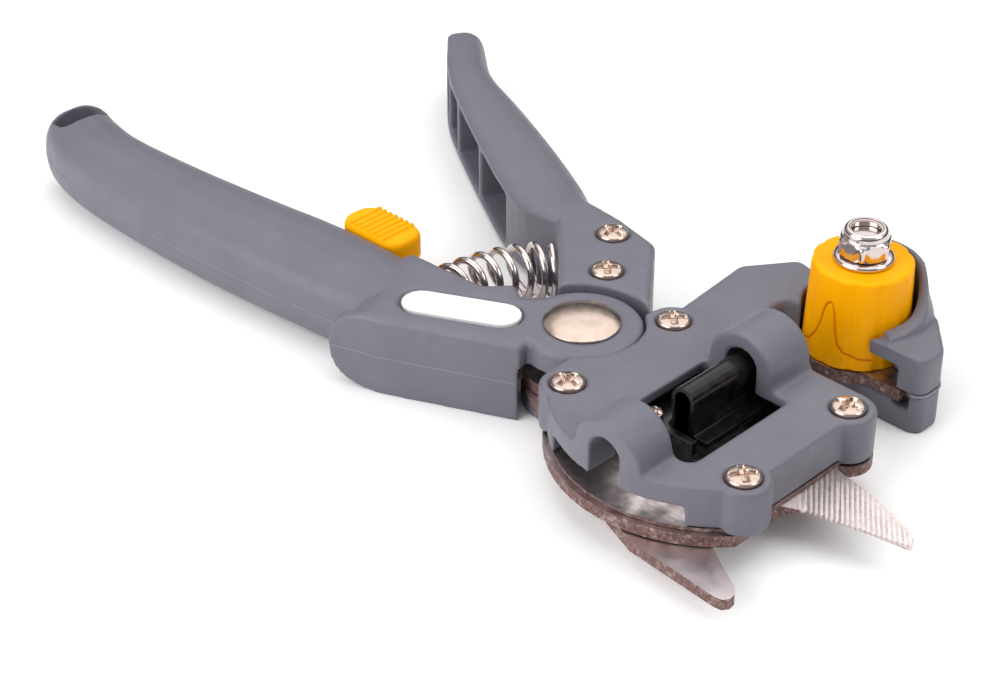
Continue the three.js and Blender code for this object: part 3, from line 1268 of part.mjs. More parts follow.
add(slidingBlade, 'blade_carriage', carriage(), BLACK_STEEL);
add(slidingBlade, 'omega_blade', omegaBlade(), BLACK_STEEL);
const bladeScrew = screw(FLANGE_TOP + STACK_GAP, CARRIAGE_BOTTOM, BLADE_SCREW_HEAD, BLADE_SCREW_SHANK);
add(slidingBlade, 'blade_screw', bladeScrew(BLADE_SCREW), WARM_NICKEL);

export default pruner;
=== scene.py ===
"""Finishes a grafting pruner: mouldings, plates, blades, screws and spring, on a pale studio floor."""

import functools
import math

import bmesh
import bpy
import numpy as np
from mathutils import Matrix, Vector


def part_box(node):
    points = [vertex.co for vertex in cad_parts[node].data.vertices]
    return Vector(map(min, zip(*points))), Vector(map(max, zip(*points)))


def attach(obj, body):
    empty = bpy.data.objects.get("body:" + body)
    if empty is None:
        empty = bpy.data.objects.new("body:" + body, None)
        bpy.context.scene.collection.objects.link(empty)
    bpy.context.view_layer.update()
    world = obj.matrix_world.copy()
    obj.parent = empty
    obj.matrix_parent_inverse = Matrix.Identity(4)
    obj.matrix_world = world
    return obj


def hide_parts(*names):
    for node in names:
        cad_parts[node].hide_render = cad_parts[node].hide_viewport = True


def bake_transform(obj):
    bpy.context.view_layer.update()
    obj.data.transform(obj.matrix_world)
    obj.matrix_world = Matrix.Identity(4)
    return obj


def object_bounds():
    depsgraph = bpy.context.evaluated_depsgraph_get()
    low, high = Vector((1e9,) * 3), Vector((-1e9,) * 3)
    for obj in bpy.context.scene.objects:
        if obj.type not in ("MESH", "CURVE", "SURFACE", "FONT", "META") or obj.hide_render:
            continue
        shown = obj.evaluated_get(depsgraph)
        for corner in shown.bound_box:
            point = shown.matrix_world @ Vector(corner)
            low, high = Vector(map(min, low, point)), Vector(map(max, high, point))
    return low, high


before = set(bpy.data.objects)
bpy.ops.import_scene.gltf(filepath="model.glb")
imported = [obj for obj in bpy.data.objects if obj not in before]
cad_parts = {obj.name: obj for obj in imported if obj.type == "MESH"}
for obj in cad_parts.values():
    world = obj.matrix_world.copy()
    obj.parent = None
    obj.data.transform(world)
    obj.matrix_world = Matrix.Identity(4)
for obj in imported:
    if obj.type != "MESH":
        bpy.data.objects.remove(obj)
CAD_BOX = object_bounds()

bl_info = {
    "name": "Grafting Pruner",
    "version": (1, 0, 0),
    "blender": (4, 5, 0),
    "location": "View3D > Sidebar > Pruner",
    "description": "Finishes the mouldings, plates, blades, screws and spring of a grafting pruner",
    "category": "Add Mesh",
}

MM = 0.001
# Points nearer than this are one, and a cutting plane takes points nearer than the slack as its own.
WELD = 0.002 * MM
CUT_SLACK = WELD / 4
FIXED, SHORT, CUTTER = "fixed_lever", "short_lever", "grafting_blade"
LOCK, ANVIL = "lock", "round_anvil"

# The return spring's middle line is an arc round the pivot, from the long lever to the short one.
SPRING_ORBIT, SPRING_DRIFT, SPRING_LEVEL = 38.55 * MM, -3.3 * MM, 9 * MM
SPRING_START, SPRING_SWEEP = math.radians(184), math.radians(-42)


def spring_middle(share):
    """A point of the spring's middle line."""
    angle, radius = SPRING_START + SPRING_SWEEP * share, SPRING_ORBIT + SPRING_DRIFT * share
    return Vector((radius * math.cos(angle), radius * math.sin(angle), SPRING_LEVEL))


SPRING_FROM, SPRING_TO = spring_middle(0), spring_middle(1)


def number(name, description, default, unit="LENGTH"):
    """A number that the user can change."""
    return bpy.props.FloatProperty(name=name, description=description, default=default, unit=unit, precision=5)


def swatch(name, default):
    """A colour that the user can change."""
    description = f"Colour of the {name.lower()}"
    return bpy.props.FloatVectorProperty(
        name=name, description=description, subtype="COLOR", size=3, default=default, min=0, max=1
    )


class PrunerSizes(bpy.types.PropertyGroup):
    """Sizes of the fine forms."""

    skin_step: number("Skin step", "Mesh size of the mouldings", 0.42 * MM)
    skin_rounds: bpy.props.IntProperty(
        name="Skin rounding", description="Smoothing passes that round the moulded edges", default=9
    )
    plate_edge: number("Plate edge", "Broken edge of plates and blades", 0.16 * MM)
    trim_edge: number("Trim edge", "Broken edge of small fittings", 0.3 * MM)
    head_dome: number("Screw dome", "Rise of a screw head at its middle", 0.4 * MM)
    recess_share: number("Recess length", "Length of the cross recess as a share of the head", 0.8, "NONE")
    recess_width: number("Recess width", "Width of the cross recess", 1.45 * MM)
    recess_depth: number("Recess depth", "Depth of the cross recess", 1.3 * MM)
    saw_groove: number("Saw groove", "Depth of the grooves of the toothed blade", 0.15 * MM)
    saw_shift: number("Saw grinding", "How far the teeth are ground back", 1.6 * MM)
    line_width: number("Line width", "Half the width of the line cut in the anvil", 0.3 * MM)
    line_depth: number("Line depth", "Depth of the line cut in the anvil", 0.35 * MM)
    seam_ridge: number("Parting ridge", "Half the width of a parting line", 0.13 * MM)
    shoulder_reach: number("Shoulder reach", "How far the shoulder's round end is carried back", 2.8 * MM)
    spring_turns: number("Spring turns", "Turns of the return spring", 7.0, "NONE")
    spring_small: number("Small coil", "Radius of the small end's coil", 5 * MM)
    spring_large: number("Large coil", "Radius of the large end's coil", 6 * MM)
    spring_lean: number("Spring lean", "Lean of the middle turns", math.radians(-16), "ROTATION")
    spring_wire: number("Spring wire", "Radius of the spring's wire", 0.8 * MM)


class PrunerColours(bpy.types.PropertyGroup):
    """Colours of the finishes."""

    moulding: swatch("Dark moulding", (0.134, 0.131, 0.162))
    yellow: swatch("Yellow moulding", (1.0, 0.395, 0.0))
    inlay: swatch("Inlay", (0.78, 0.76, 0.76))
    nylon: swatch("Nylon ring", (0.62, 0.52, 0.5))
    chrome: swatch("Chrome", (0.66, 0.58, 0.565))
    warm_metal: swatch("Warm nickel", (0.60, 0.475, 0.405))
    steel: swatch("Ground steel", (0.76, 0.665, 0.67))
    saw_steel: swatch("Saw steel", (0.71, 0.62, 0.61))
    steel_edge: swatch("Steel edge", (0.15, 0.085, 0.078))
    worn_edge: swatch("Worn edge", (0.55, 0.43, 0.41))
    stain: swatch("Stain", (0.16, 0.125, 0.12))
    black_metal: swatch("Blackened steel", (0.005, 0.0045, 0.0045))


class StudioSettings(bpy.types.PropertyGroup):
    """Floor and light."""

    floor: swatch("Floor", (0.95, 0.95, 0.95))
    world: number("Fill", "Strength of the light all round", 0.72, "NONE")
    key: number("Key", "Power of the large soft lamp", 8.5, "POWER")
    front: number("Front", "Power of the lamp in front", 13.0, "POWER")
    back: number("Back", "Power of the lamp behind", 2.5, "POWER")


class NodeBuilder:
    """Adds nodes to a tree, with values and links given together."""

    def __init__(self, tree):
        self.tree = tree

    def add(self, kind, inputs=None, **settings):
        node = self.tree.nodes.new(kind)
        for key, value in settings.items():
            setattr(node, key, value)
        for key, value in (inputs or {}).items():
            self.feed(node.inputs[key], value)
        return node

    def feed(self, socket, value):
        """Links a node or a socket, or sets a plain value."""
        if isinstance(value, bpy.types.Node):
            value = next(s for s in value.outputs if s.enabled)
        if isinstance(value, bpy.types.NodeSocket):
            self.tree.links.new(value, socket)
        elif value is not None:
            socket.default_value = value

    def math(self, operation, first, second=None, third=None):
        """One scalar sum in either kind of tree."""
        node = self.tree.nodes.new("ShaderNodeMath")
        node.operation = operation
        for socket, value in zip(node.inputs, (first, second, third)):
            self.feed(socket, value)
        return node.outputs[0]

    def times(self, first, second):
        """The product of two values."""
        return self.math("MULTIPLY", first, second)

    def span(self, value, low=0.0, high=1.0, start=0.3, end=0.7):
        """A value's range from start to end spread over low to high."""
        limits = {"Value": value, "From Min": start, "From Max": end, "To Min": low, "To Max": high}
        return self.add("ShaderNodeMapRange", limits).outputs["Result"]


# Finishes.


class Finish(NodeBuilder):
    """A material whose patterns read Object coordinates."""

    def __init__(self, name, metallic=0.0):
        self.material = bpy.data.materials.new(name)
        self.material.use_nodes = True
        super().__init__(self.material.node_tree)
        self.shader = self.tree.nodes["Principled BSDF"]
        self.shader.inputs["Metallic"].default_value = metallic
        self.place = self.add("ShaderNodeTexCoord")

    def pattern(self, size, stretch=(1, 1, 1), turn=(0, 0, 0), detail=2.0, roughness=0.5):
        """Noise with features of about that size, in metres, drawn out along an axis by stretch."""
        drawn = {"Vector": self.place.outputs["Object"], "Rotation": turn, "Scale": stretch}
        mapping = self.add("ShaderNodeMapping", drawn)
        noise = {"Vector": mapping, "Scale": 1 / size, "Detail": detail, "Roughness": roughness}
        return self.add("ShaderNodeTexNoise", noise).outputs["Fac"]

    def blend(self, factor, first, second):
        """One colour over into another by a factor."""
        node = self.tree.nodes.new("ShaderNodeMix")
        node.data_type = "RGBA"
        self.feed(node.inputs["Factor"], factor)
        for key, value in (("A", first), ("B", second)):
            socket = [s for s in node.inputs if s.name == key and s.type == "RGBA"][0]
            self.feed(socket, (*value, 1) if isinstance(value, (tuple, list)) else value)
        return [s for s in node.outputs if s.type == "RGBA"][0]

    def relief(self, height, distance, strength=1.0, below=None):
        """Bump on top of what lies below it."""
        node = self.add("ShaderNodeBump", {"Height": height, "Distance": distance, "Strength": strength})
        self.feed(node.inputs["Normal"], below)
        self.feed(self.shader.inputs["Normal"], node)
        return node.outputs["Normal"]

    def set(self, **sockets):
        """Feeds the shader's sockets; an underline in a name stands for a space."""
        for key, value in sockets.items():
            self.feed(self.shader.inputs[key.replace("_", " ")], value)


def scaled(colour, share):
    """A colour made lighter or darker."""
    return tuple(min(1.0, c * share) for c in colour)


def tinted(colour, shares):
    """A colour with its red, green and blue each taken by a share of its own."""
    return tuple(c * share for c, share in zip(colour, shares))


def colour_of(name, share=1.0):
    """One of the user's colours, as it is or made lighter or darker."""
    return scaled(getattr(bpy.context.scene.pruner_colours, name), share)


# The painted shade in the anvil's cut line, and the rust on bright and on black steel: what they do to the
# colour under them.
LINE_SHADE_TINT, SAW_RUST_TINT, BLACK_RUST_TINT = (0.72, 0.32, 1.0), (0.8, 0.55, 0.5), (4.2, 2.4, 2.2)
# The vertex attribute that marks the line cut in the anvil, where its painted shade goes.
LINE_SHADE_MARK = "cut_line"
# Sizes of the patterns in moulded plastic: its cloudy tone, scuffs, the places that hands rub, its sheen.
TONE_PATCH, SCUFF, RUBBED_PATCH, SHEEN_PATCH = 11 * MM, 0.75 * MM, 13 * MM, 3 * MM


def moulded(name, colour, roughness, depth, grain=0.5 * MM, scuff=0.0, gloss=0.5, line_shade=None):
    """Moulded plastic with the fine eroded grain of its tool, pale scuffs and painted shade in a cut line."""
    finish = Finish(name)
    dark, light, rubbed_pale = (scaled(colour, share) for share in (0.9, 1.09, 2.1))
    cloud = finish.pattern(TONE_PATCH, detail=3)
    fine = finish.pattern(grain, detail=2.5, roughness=0.65)
    tone = finish.math("ADD", finish.span(cloud, high=0.5), finish.span(fine, high=0.5))
    body = finish.blend(tone, dark, light)
    if scuff:
        rubbed = finish.pattern(SCUFF, stretch=(1, 1, 1.8), detail=4, roughness=0.75)
        where = finish.span(finish.pattern(RUBBED_PATCH, detail=2), start=0.46, end=0.66)
        marks = finish.span(rubbed, high=scuff, start=0.61, end=0.74)
        body = finish.blend(finish.times(marks, where), body, rubbed_pale)
    # The cut line is tinted darker and redder: painted shade in the cut.
    if line_shade:
        line = finish.add("ShaderNodeAttribute", attribute_name=LINE_SHADE_MARK).outputs["Fac"]
        body = finish.blend(line, body, tinted(colour, line_shade))
    sheen = finish.span(finish.pattern(SHEEN_PATCH), low=roughness - 0.06, high=roughness + 0.06)
    finish.set(Base_Color=body, Roughness=sheen, Specular_IOR_Level=gloss)
    finish.relief(fine, depth)
    return finish.material


def plated(name, colour, roughness, marks):
    """Plated metal with faint handling marks and a warm haze."""
    finish = Finish(name, metallic=1.0)
    haze = finish.pattern(2.2 * MM, detail=4)
    hair = finish.pattern(0.25 * MM, stretch=(1, 9, 3), turn=(0, 0, 0.5), detail=3)
    finish.set(
        Base_Color=finish.blend(finish.span(haze), scaled(colour, 0.84), colour),
        Roughness=finish.span(haze, low=roughness * 0.8, high=roughness * 1.35),
    )
    finish.relief(hair, marks)
    return finish.material


def ground_steel(name, base, line_turn, line_size, contrast, roughness, stain):
    """Steel ground on its faces and left dark on its cut edges, with grinding lines in one direction."""
    finish = Finish(name)
    edge = colour_of("steel_edge")
    lines = finish.pattern(line_size, stretch=(0.02, 1, 1), turn=(0, 0, line_turn), detail=2, roughness=0.7)
    cloud = finish.pattern(5 * MM, detail=5)
    spots = finish.pattern(0.55 * MM, stretch=(1, 1, 0.6), detail=5, roughness=0.75)
    worn = finish.pattern(1.6 * MM, detail=4, roughness=0.8)
    up = finish.add("ShaderNodeSeparateXYZ", {"Vector": finish.place.outputs["Normal"]}).outputs["Z"]
    side = finish.span(finish.math("ABSOLUTE", up), low=1, high=0, start=0.45, end=0.75)
    valley, ridge = scaled(base, 1 - contrast), scaled(base, 1 + contrast)
    face = finish.blend(finish.span(lines), valley, ridge)
    dull = finish.blend(finish.span(cloud, high=stain, start=0.4, end=0.62), face, colour_of("stain"))
    scale = finish.span(spots, start=0.35, end=0.68)
    rim = finish.blend(scale, scaled(edge, 0.5), scaled(edge, 1.9))
    wear = finish.span(worn, high=0.75, start=0.52, end=0.68)
    bright = finish.blend(wear, rim, colour_of("worn_edge"))
    sheen = finish.span(cloud, low=roughness - 0.06, high=roughness + 0.1)
    finish.set(
        Base_Color=finish.blend(side, dull, bright),
        Roughness=finish.math("ADD", sheen, finish.times(side, 0.22)),
        Metallic=finish.span(side, low=1.0, high=0.55, start=0.0, end=1.0),
    )
    ground = finish.relief(lines, 0.003 * MM)
    finish.relief(finish.times(spots, side), 0.04 * MM, strength=0.7, below=ground)
    return finish.material


def saw_steel():
    """Freshly ground steel of the toothed blade."""
    finish = Finish("ground saw steel", metallic=0.8)
    base = colour_of("saw_steel")
    haze = finish.pattern(0.9 * MM, detail=5, roughness=0.75)
    rust = finish.span(finish.pattern(0.5 * MM, detail=3), high=0.5, start=0.62, end=0.75)
    tone = finish.blend(finish.span(haze), scaled(base, 0.8), scaled(base, 1.16))
    finish.set(
        Base_Color=finish.blend(rust, tone, tinted(base, SAW_RUST_TINT)),
        Roughness=finish.span(haze, low=0.34, high=0.5),
    )
    finish.relief(haze, 0.02 * MM)
    return finish.material


def black_steel():
    """Blackened steel with an oiled sheen and faint rust tones."""
    finish = Finish("blackened steel", metallic=0.2)
    base = colour_of("black_metal")
    cloud = finish.pattern(2 * MM, detail=5)
    rust = finish.span(finish.pattern(4 * MM, detail=4), high=0.55, start=0.5, end=0.68)
    tone = finish.blend(finish.span(cloud), base, scaled(base, 2.0))
    finish.set(
        Base_Color=finish.blend(rust, tone, tinted(base, BLACK_RUST_TINT)),
        Roughness=finish.span(cloud, low=0.14, high=0.3),
        Specular_IOR_Level=0.4,
    )
    finish.relief(finish.pattern(0.4 * MM, detail=3), 0.008 * MM)
    return finish.material


MAKERS = {
    "dark_plastic": lambda: moulded(
        "dark moulded plastic", colour_of("moulding"), roughness=0.46, depth=0.04 * MM, grain=0.32 * MM,
        scuff=0.5,
    ),
    # Parting ridges: the moulding colour made paler, a painted highlight along them.
    "flash": lambda: moulded(
        "moulding flash", colour_of("moulding", share=1.55), roughness=0.45, depth=0.02 * MM
    ),
    # The yellow moulding carries painted shade in the anvil's cut line.
    "yellow_plastic": lambda: moulded(
        "yellow moulded plastic", colour_of("yellow"), roughness=0.4, depth=0.012 * MM, gloss=0.08,
        line_shade=LINE_SHADE_TINT,
    ),
    "white_plastic": lambda: moulded(
        "white inlay plastic", colour_of("inlay"), roughness=0.32, depth=0.005 * MM, grain=0.6 * MM
    ),
    "nylon": lambda: moulded("nylon ring", colour_of("nylon"), roughness=0.35, depth=0.01 * MM),
    "chrome": lambda: plated("chrome plate", colour_of("chrome"), roughness=0.12, marks=0.002 * MM),
    "warm_nickel": lambda: plated(
        "warm nickel plate", colour_of("warm_metal"), roughness=0.2, marks=0.004 * MM
    ),
    "ground_steel": lambda: ground_steel(
        "stained plate steel", colour_of("steel", share=0.85), roughness=0.38,
        line_turn=0.5, line_size=0.6 * MM, contrast=0.16, stain=0.75,
    ),
    "blade_steel": lambda: ground_steel(
        "polished blade steel", colour_of("steel", share=1.08), roughness=0.34,
        line_turn=-0.62, line_size=0.9 * MM, contrast=0.05, stain=0.0,
    ),
    "saw_steel": saw_steel,
    "black_steel": black_steel,
}


@functools.cache
def material(finish):
    """The material of a finish, made once."""
    return MAKERS[finish]()


# Shapes.

# Edges that turn by more than the corner angle are broken; only those beyond the sharp angle stay sharp.
CORNER_ANGLE, SHARP_ANGLE = math.radians(28), math.radians(36)
# Angles that stay sharp on screw heads, turned fittings and the grooved blade.
SCREW_SHARP, TURNED_SHARP, SAW_SHARP = math.radians(32), math.radians(38), math.radians(12)
EDGE_FACETS = 2


def sizes():
    return bpy.context.scene.pruner_sizes


def new_object(name, data):
    piece = bpy.data.objects.new(name, data)
    bpy.context.scene.collection.objects.link(piece)
    return piece


def unpacked(piece):
    """A piece's mesh opened for editing."""
    shape = bmesh.new()
    shape.from_mesh(piece.data)
    return shape


def repacked(shape, piece):
    """The edited mesh put back into its piece."""
    shape.to_mesh(piece.data)
    shape.free()
    return piece


def cut_plane(shape, place, normal, **sides):
    """Parts every face that crosses a plane, and gives the edges that lie in it."""
    every = shape.verts[:] + shape.edges[:] + shape.faces[:]
    cut = bmesh.ops.bisect_plane(shape, geom=every, dist=CUT_SLACK, plane_co=place, plane_no=normal, **sides)
    return [e for e in cut["geom_cut"] if isinstance(e, bmesh.types.BMEdge)]


def welded(node, name):
    """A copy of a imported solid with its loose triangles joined."""
    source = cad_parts[node].data
    mesh = bpy.data.meshes.new(name)
    mesh.from_pydata([v.co for v in source.vertices], [], [p.vertices for p in source.polygons])
    piece = new_object(name, mesh)
    shape = unpacked(piece)
    bmesh.ops.remove_doubles(shape, verts=shape.verts, dist=WELD)
    bmesh.ops.dissolve_degenerate(shape, edges=shape.edges, dist=WELD)
    return repacked(shape, piece)


def applied(piece):
    """The piece with its modifiers worked into a plain mesh."""
    evaluated = piece.evaluated_get(bpy.context.evaluated_depsgraph_get())
    mesh = bpy.data.meshes.new_from_object(evaluated)
    piece.modifiers.clear()
    piece.data = mesh
    return piece


def dressed(piece, body, finish, *nodes):
    """Gives a piece its finish, its body and the solids that it stands for."""
    piece.data.materials.clear()
    piece.data.materials.append(material(finish))
    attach(piece, body)
    if nodes:
        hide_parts(*nodes)
    return piece


def moulded_skin(node, name, step, rounds):
    """A moulding: an even skin over the solid, with its edges rounded as a mould rounds them."""
    piece = welded(node, name)
    remesh = piece.modifiers.new("Skin", "REMESH")
    remesh.mode = "VOXEL"
    remesh.voxel_size = step
    remesh.use_smooth_shade = True
    smooth = piece.modifiers.new("Rounding", "SMOOTH")
    smooth.iterations = rounds
    return applied(piece)


def edged(piece, width):
    """Corners broken, curves shaded smooth and flat faces kept flat."""
    bevel = piece.modifiers.new("Edges", "BEVEL")
    bevel.width, bevel.segments = width, EDGE_FACETS
    bevel.limit_method, bevel.angle_limit = "ANGLE", CORNER_ANGLE
    applied(piece)
    piece.data.shade_smooth()
    piece.data.set_sharp_from_angle(angle=SHARP_ANGLE)
    weigh = piece.modifiers.new("Flat faces", "WEIGHTED_NORMAL")
    weigh.keep_sharp = True
    return applied(piece)


def finished(node, name, body, finish, width, flat_angle=1.0):
    """A machined solid, its flat faces made whole and its corners broken, dressed."""
    piece = welded(node, name)
    shape = unpacked(piece)
    bmesh.ops.dissolve_limit(
        shape, angle_limit=math.radians(flat_angle), verts=shape.verts, edges=shape.edges
    )
    dressed(edged(repacked(shape, piece), width), body, finish, node)


def halved(piece, place, normal):
    """Only what lies ahead of a plane, closed again."""
    shape = unpacked(piece)
    rim = cut_plane(shape, place, normal, clear_inner=True)
    bmesh.ops.holes_fill(shape, edges=rim)
    bmesh.ops.recalc_face_normals(shape, faces=shape.faces)
    return repacked(shape, piece)


# The toothed blade, in millimetres. It is cut from the base plate at one place along the tool.
SAW_CUT = 57.5
# Its cutting edge from heel to tip, its teeth, and their valleys as a share of the pitch and in from the edge.
# The pitch is the step from one tooth to the next.
SAW_HEEL, SAW_TIP = Vector((62.51, -8.0, 0)), Vector((82.0, -3.48, 0))
SAW_TEETH, SAW_VALLEY, SAW_DEPTH = 19, 0.35, 0.7
SAW_AHEAD = (SAW_TIP - SAW_HEEL).normalized()
SAW_INWARD = Vector((-SAW_AHEAD.y, SAW_AHEAD.x, 0))
SAW_PITCH = SAW_AHEAD * ((SAW_TIP - SAW_HEEL).length / SAW_TEETH)
# Its width from the edge to the spine at places along the edge.
SAW_WIDTHS = ((-3.5, 15.6), (0, 14.2), (5, 12.2), (10, 8.9), (15.6, 5.4), (19, 4.2), (20.7, 3.8))
SAW_SPINE = 15.8
# The direction square to the grooves, and the grooves beyond the heel and the tip.
SAW_LEAN = math.radians(125)
SAW_ACROSS = Vector((math.sin(SAW_LEAN), -math.cos(SAW_LEAN), 0))
GROOVES_BEFORE, GROOVES_AFTER = 5, 4
# Faces of the blade from below to above, what stays of the edge, and the bevel under it.
SAW_LOW, SAW_HIGH, SAW_EDGE, SAW_LIFT, SAW_LIFT_SHARE = 6.3, 8.8, 0.4, 0.9, 0.25
# Where the slope, the grooves, the bright finish and the teeth begin before the heel, and the teeth's depth.
SLOPE_LEAD, GROOVE_LEAD, BRIGHT_LEAD, TOOTH_LEAD, TOOTH_REACH = 4.5, 3.6, 3.2, 0.4, 3.2
# A point this near a valley line is in the groove. Grooves fade towards the spine.
GROOVE_NEAR, GROOVE_FULL, GROOVE_FADE = 0.05, 3.0, 2.6


def saw_place(point):
    """How far along the cutting edge and how far in from it a point lies, in millimetres."""
    place = point / MM - SAW_HEEL
    return place.dot(SAW_AHEAD), place.dot(SAW_INWARD)


def saw_blade():
    """The toothed blade: ground to a slope from its spine to its teeth, with a groove up from every tooth."""
    piece = halved(welded("base_plate", "saw_blade"), (SAW_CUT * MM, 0, 0), (1, 0, 0))
    shape = unpacked(piece)
    first = SAW_HEEL + SAW_PITCH * SAW_VALLEY + SAW_INWARD * SAW_DEPTH
    valleys = [first + SAW_PITCH * k for k in range(-GROOVES_BEFORE, SAW_TEETH + GROOVES_AFTER)]
    cut_plane(shape, (SAW_HEEL - SAW_AHEAD * TOOTH_LEAD) * MM, SAW_AHEAD)
    for valley in valleys:
        cut_plane(shape, valley * MM, SAW_ACROSS)
        cut_plane(shape, (valley - SAW_PITCH / 2) * MM, SAW_ACROSS)
    stations, widths = zip(*SAW_WIDTHS)
    starts = [valley.dot(SAW_ACROSS) for valley in valleys]
    drop = SAW_HIGH - SAW_LOW - SAW_EDGE - SAW_LIFT
    for vert in shape.verts:
        along, deep = saw_place(vert.co)
        reach = min(1.0, max(0.0, deep / float(np.interp(along, stations, widths))))
        ground = min(1.0, max(0.0, (along + SLOPE_LEAD) / SLOPE_LEAD))
        above = vert.co.z > (SAW_LOW + SAW_HIGH) / 2 * MM
        aside = (vert.co / MM).dot(SAW_ACROSS)
        vert.co += SAW_INWARD * sizes().saw_shift * (1 - reach) * ground
        if above:
            sink = drop * (1 - reach) * ground * MM
            if min(abs(aside - start) for start in starts) < GROOVE_NEAR and along > -GROOVE_LEAD:
                sink += sizes().saw_groove * min(1.0, GROOVE_FULL - GROOVE_FADE * reach) * ground
            vert.co.z -= sink
        else:
            vert.co.z += SAW_LIFT * max(0.0, 1 - reach / SAW_LIFT_SHARE) * ground * MM
    bmesh.ops.recalc_face_normals(shape, faces=shape.faces)
    repacked(shape, piece)
    piece.data.shade_smooth()
    piece.data.set_sharp_from_angle(angle=SAW_SHARP)
    return piece


def blade_faces(piece):
    """Bright finish on the ground slope and the teeth, polish at the foot, the plate's own finish elsewhere."""
    for finish in ("blade_steel", "ground_steel"):
        piece.data.materials.append(material(finish))
    bright, polished, plain = range(3)
    for face in piece.data.polygons:
        along, deep = saw_place(face.center)
        up = face.normal.z
        ground = deep < SAW_SPINE and up > -0.5
        slope = along > -BRIGHT_LEAD and up > 0.5
        teeth = along > -TOOTH_LEAD and (up > 0.3 or deep < TOOTH_REACH)
        if ground and (slope or teeth):
            face.material_index = bright
        elif ground and along > -SLOPE_LEAD and up > 0.5:
            face.material_index = polished
        else:
            face.material_index = plain


# The line cut in the anvil's side, as (degrees round the anvil, height above its foot in millimetres).
WAVE_LINE = (
    (-128, 2.6), (-118, 3.2), (-112.8, 4.2), (-106, 5.9), (-101, 8), (-98, 10), (-95.7, 12.4), (-92.8, 13.7),
    (-89.6, 14.25), (-86.4, 14.1), (-83.6, 13.2), (-81.2, 11.3), (-79.6, 9), (-77.6, 7), (-74.5, 5.3),
    (-68, 3.95), (-59, 3.25), (-48, 2.8), (-36, 2.6),
)
WAVE_STEPS = 12
# The anvil's side lies beyond this share of its radius and below this margin from its top.
SIDE_SHARE, TOP_MARGIN = 0.85, 1 * MM
# The painted shade is stronger than the cut is deep, so that its full darker tint fills the cut.
LINE_SHADE_SPREAD = 1.6


def cut_wave(piece):
    """Sinks the wave line into the anvil's side and marks it for painted shade."""
    low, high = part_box("anvil")
    centre = (low + high) / 2
    radius = (high.x - low.x) / 2
    path = []
    for (a, h), (b, k) in zip(WAVE_LINE, WAVE_LINE[1:]):
        for step in np.linspace(0, 1, WAVE_STEPS, endpoint=False):
            path.append((math.radians(a + (b - a) * step) * radius, low.z + (h + (k - h) * step) * MM))
    path = np.array(path)
    mark = piece.data.attributes.new(LINE_SHADE_MARK, "FLOAT", "POINT")
    marks = np.zeros(len(piece.data.vertices))
    for vert in piece.data.vertices:
        out = Vector((vert.co.x - centre.x, vert.co.y - centre.y, 0))
        if out.length < SIDE_SHARE * radius or vert.co.z > high.z - TOP_MARGIN:
            continue
        here = np.array((math.atan2(out.y, out.x) * radius, vert.co.z))
        near = float(np.hypot(*(path - here).T).min())
        depth = max(0.0, 1 - near / sizes().line_width)
        marks[vert.index] = min(1.0, LINE_SHADE_SPREAD * depth)
        vert.co -= out.normalized() * depth * sizes().line_depth
    mark.data.foreach_set("value", marks)


def outline_at(piece, level):
    """The longest ring of points round a skin at a level, which starts at the same point in every run."""
    shape = unpacked(piece)
    left = dict.fromkeys(cut_plane(shape, (0, 0, level), (0, 0, 1), clear_inner=True, clear_outer=True))
    rings = []
    while left:
        ring = list(left.popitem()[0].verts)
        while onward := next((e for e in ring[-1].link_edges if e in left), None):
            del left[onward]
            ring.append(onward.other_vert(ring[-1]))
        rings.append([v.co.copy() for v in ring])
    shape.free()
    return max(rings, key=lambda ring: sum((a - b).length for a, b in zip(ring, ring[1:])))


class FormTree(NodeBuilder):
    """A Geometry Nodes tree with named inputs, run once on an object."""

    def __init__(self, name, inputs):
        super().__init__(bpy.data.node_groups.new(name, "GeometryNodeTree"))
        face = self.tree.interface
        face.new_socket("Geometry", in_out="INPUT", socket_type="NodeSocketGeometry")
        self.sockets = {}
        for key, value in inputs.items():
            kind = "NodeSocketInt" if isinstance(value, int) else "NodeSocketFloat"
            self.sockets[key] = [face.new_socket(key, in_out="INPUT", socket_type=kind), value]
        face.new_socket("Geometry", in_out="OUTPUT", socket_type="NodeSocketGeometry")
        self.inputs = self.tree.nodes.new("NodeGroupInput").outputs

    def close(self, geometry, finish):
        """Ends the tree in real geometry that carries its finish."""
        real = self.add("GeometryNodeRealizeInstances", {"Geometry": geometry})
        smooth = self.add("GeometryNodeSetShadeSmooth", {"Geometry": real})
        painted = self.add("GeometryNodeSetMaterial", {"Geometry": smooth, "Material": material(finish)})
        self.add("NodeGroupOutput", {"Geometry": painted})

    def give(self, key, value):
        """Sets what an input takes in the next run."""
        self.sockets[key][1] = value

    def run(self, name, points, edges=()):
        """The tree's result over the given points, or the lines between them, as a plain mesh."""
        mesh = bpy.data.meshes.new(name)
        mesh.from_pydata(points, list(edges), [])
        piece = new_object(name, mesh)
        modifier = piece.modifiers.new("Form", "NODES")
        modifier.node_group = self.tree
        for socket, value in self.sockets.values():
            modifier[socket.identifier] = value
        return applied(piece)

    def vector(self, x, y, z):
        return self.add("ShaderNodeCombineXYZ", {"X": x, "Y": y, "Z": z})

    def parts_of(self, vector):
        node = self.add("ShaderNodeSeparateXYZ", {"Vector": vector})
        return [node.outputs[axis] for axis in "XYZ"]

    def tube(self, curve, sides, radius):
        """A closed tube round a curve."""
        circle = self.add("GeometryNodeCurvePrimitiveCircle", {"Resolution": sides, "Radius": radius})
        parts = {"Curve": curve, "Profile Curve": circle.outputs["Curve"], "Fill Caps": True}
        return self.add("GeometryNodeCurveToMesh", parts)

    def fade(self, value, limit, slope):
        """1 well below the limit, 0 beyond it."""
        return self.span(value, low=1.0, high=0.0, start=self.math("SUBTRACT", limit, slope), end=limit)


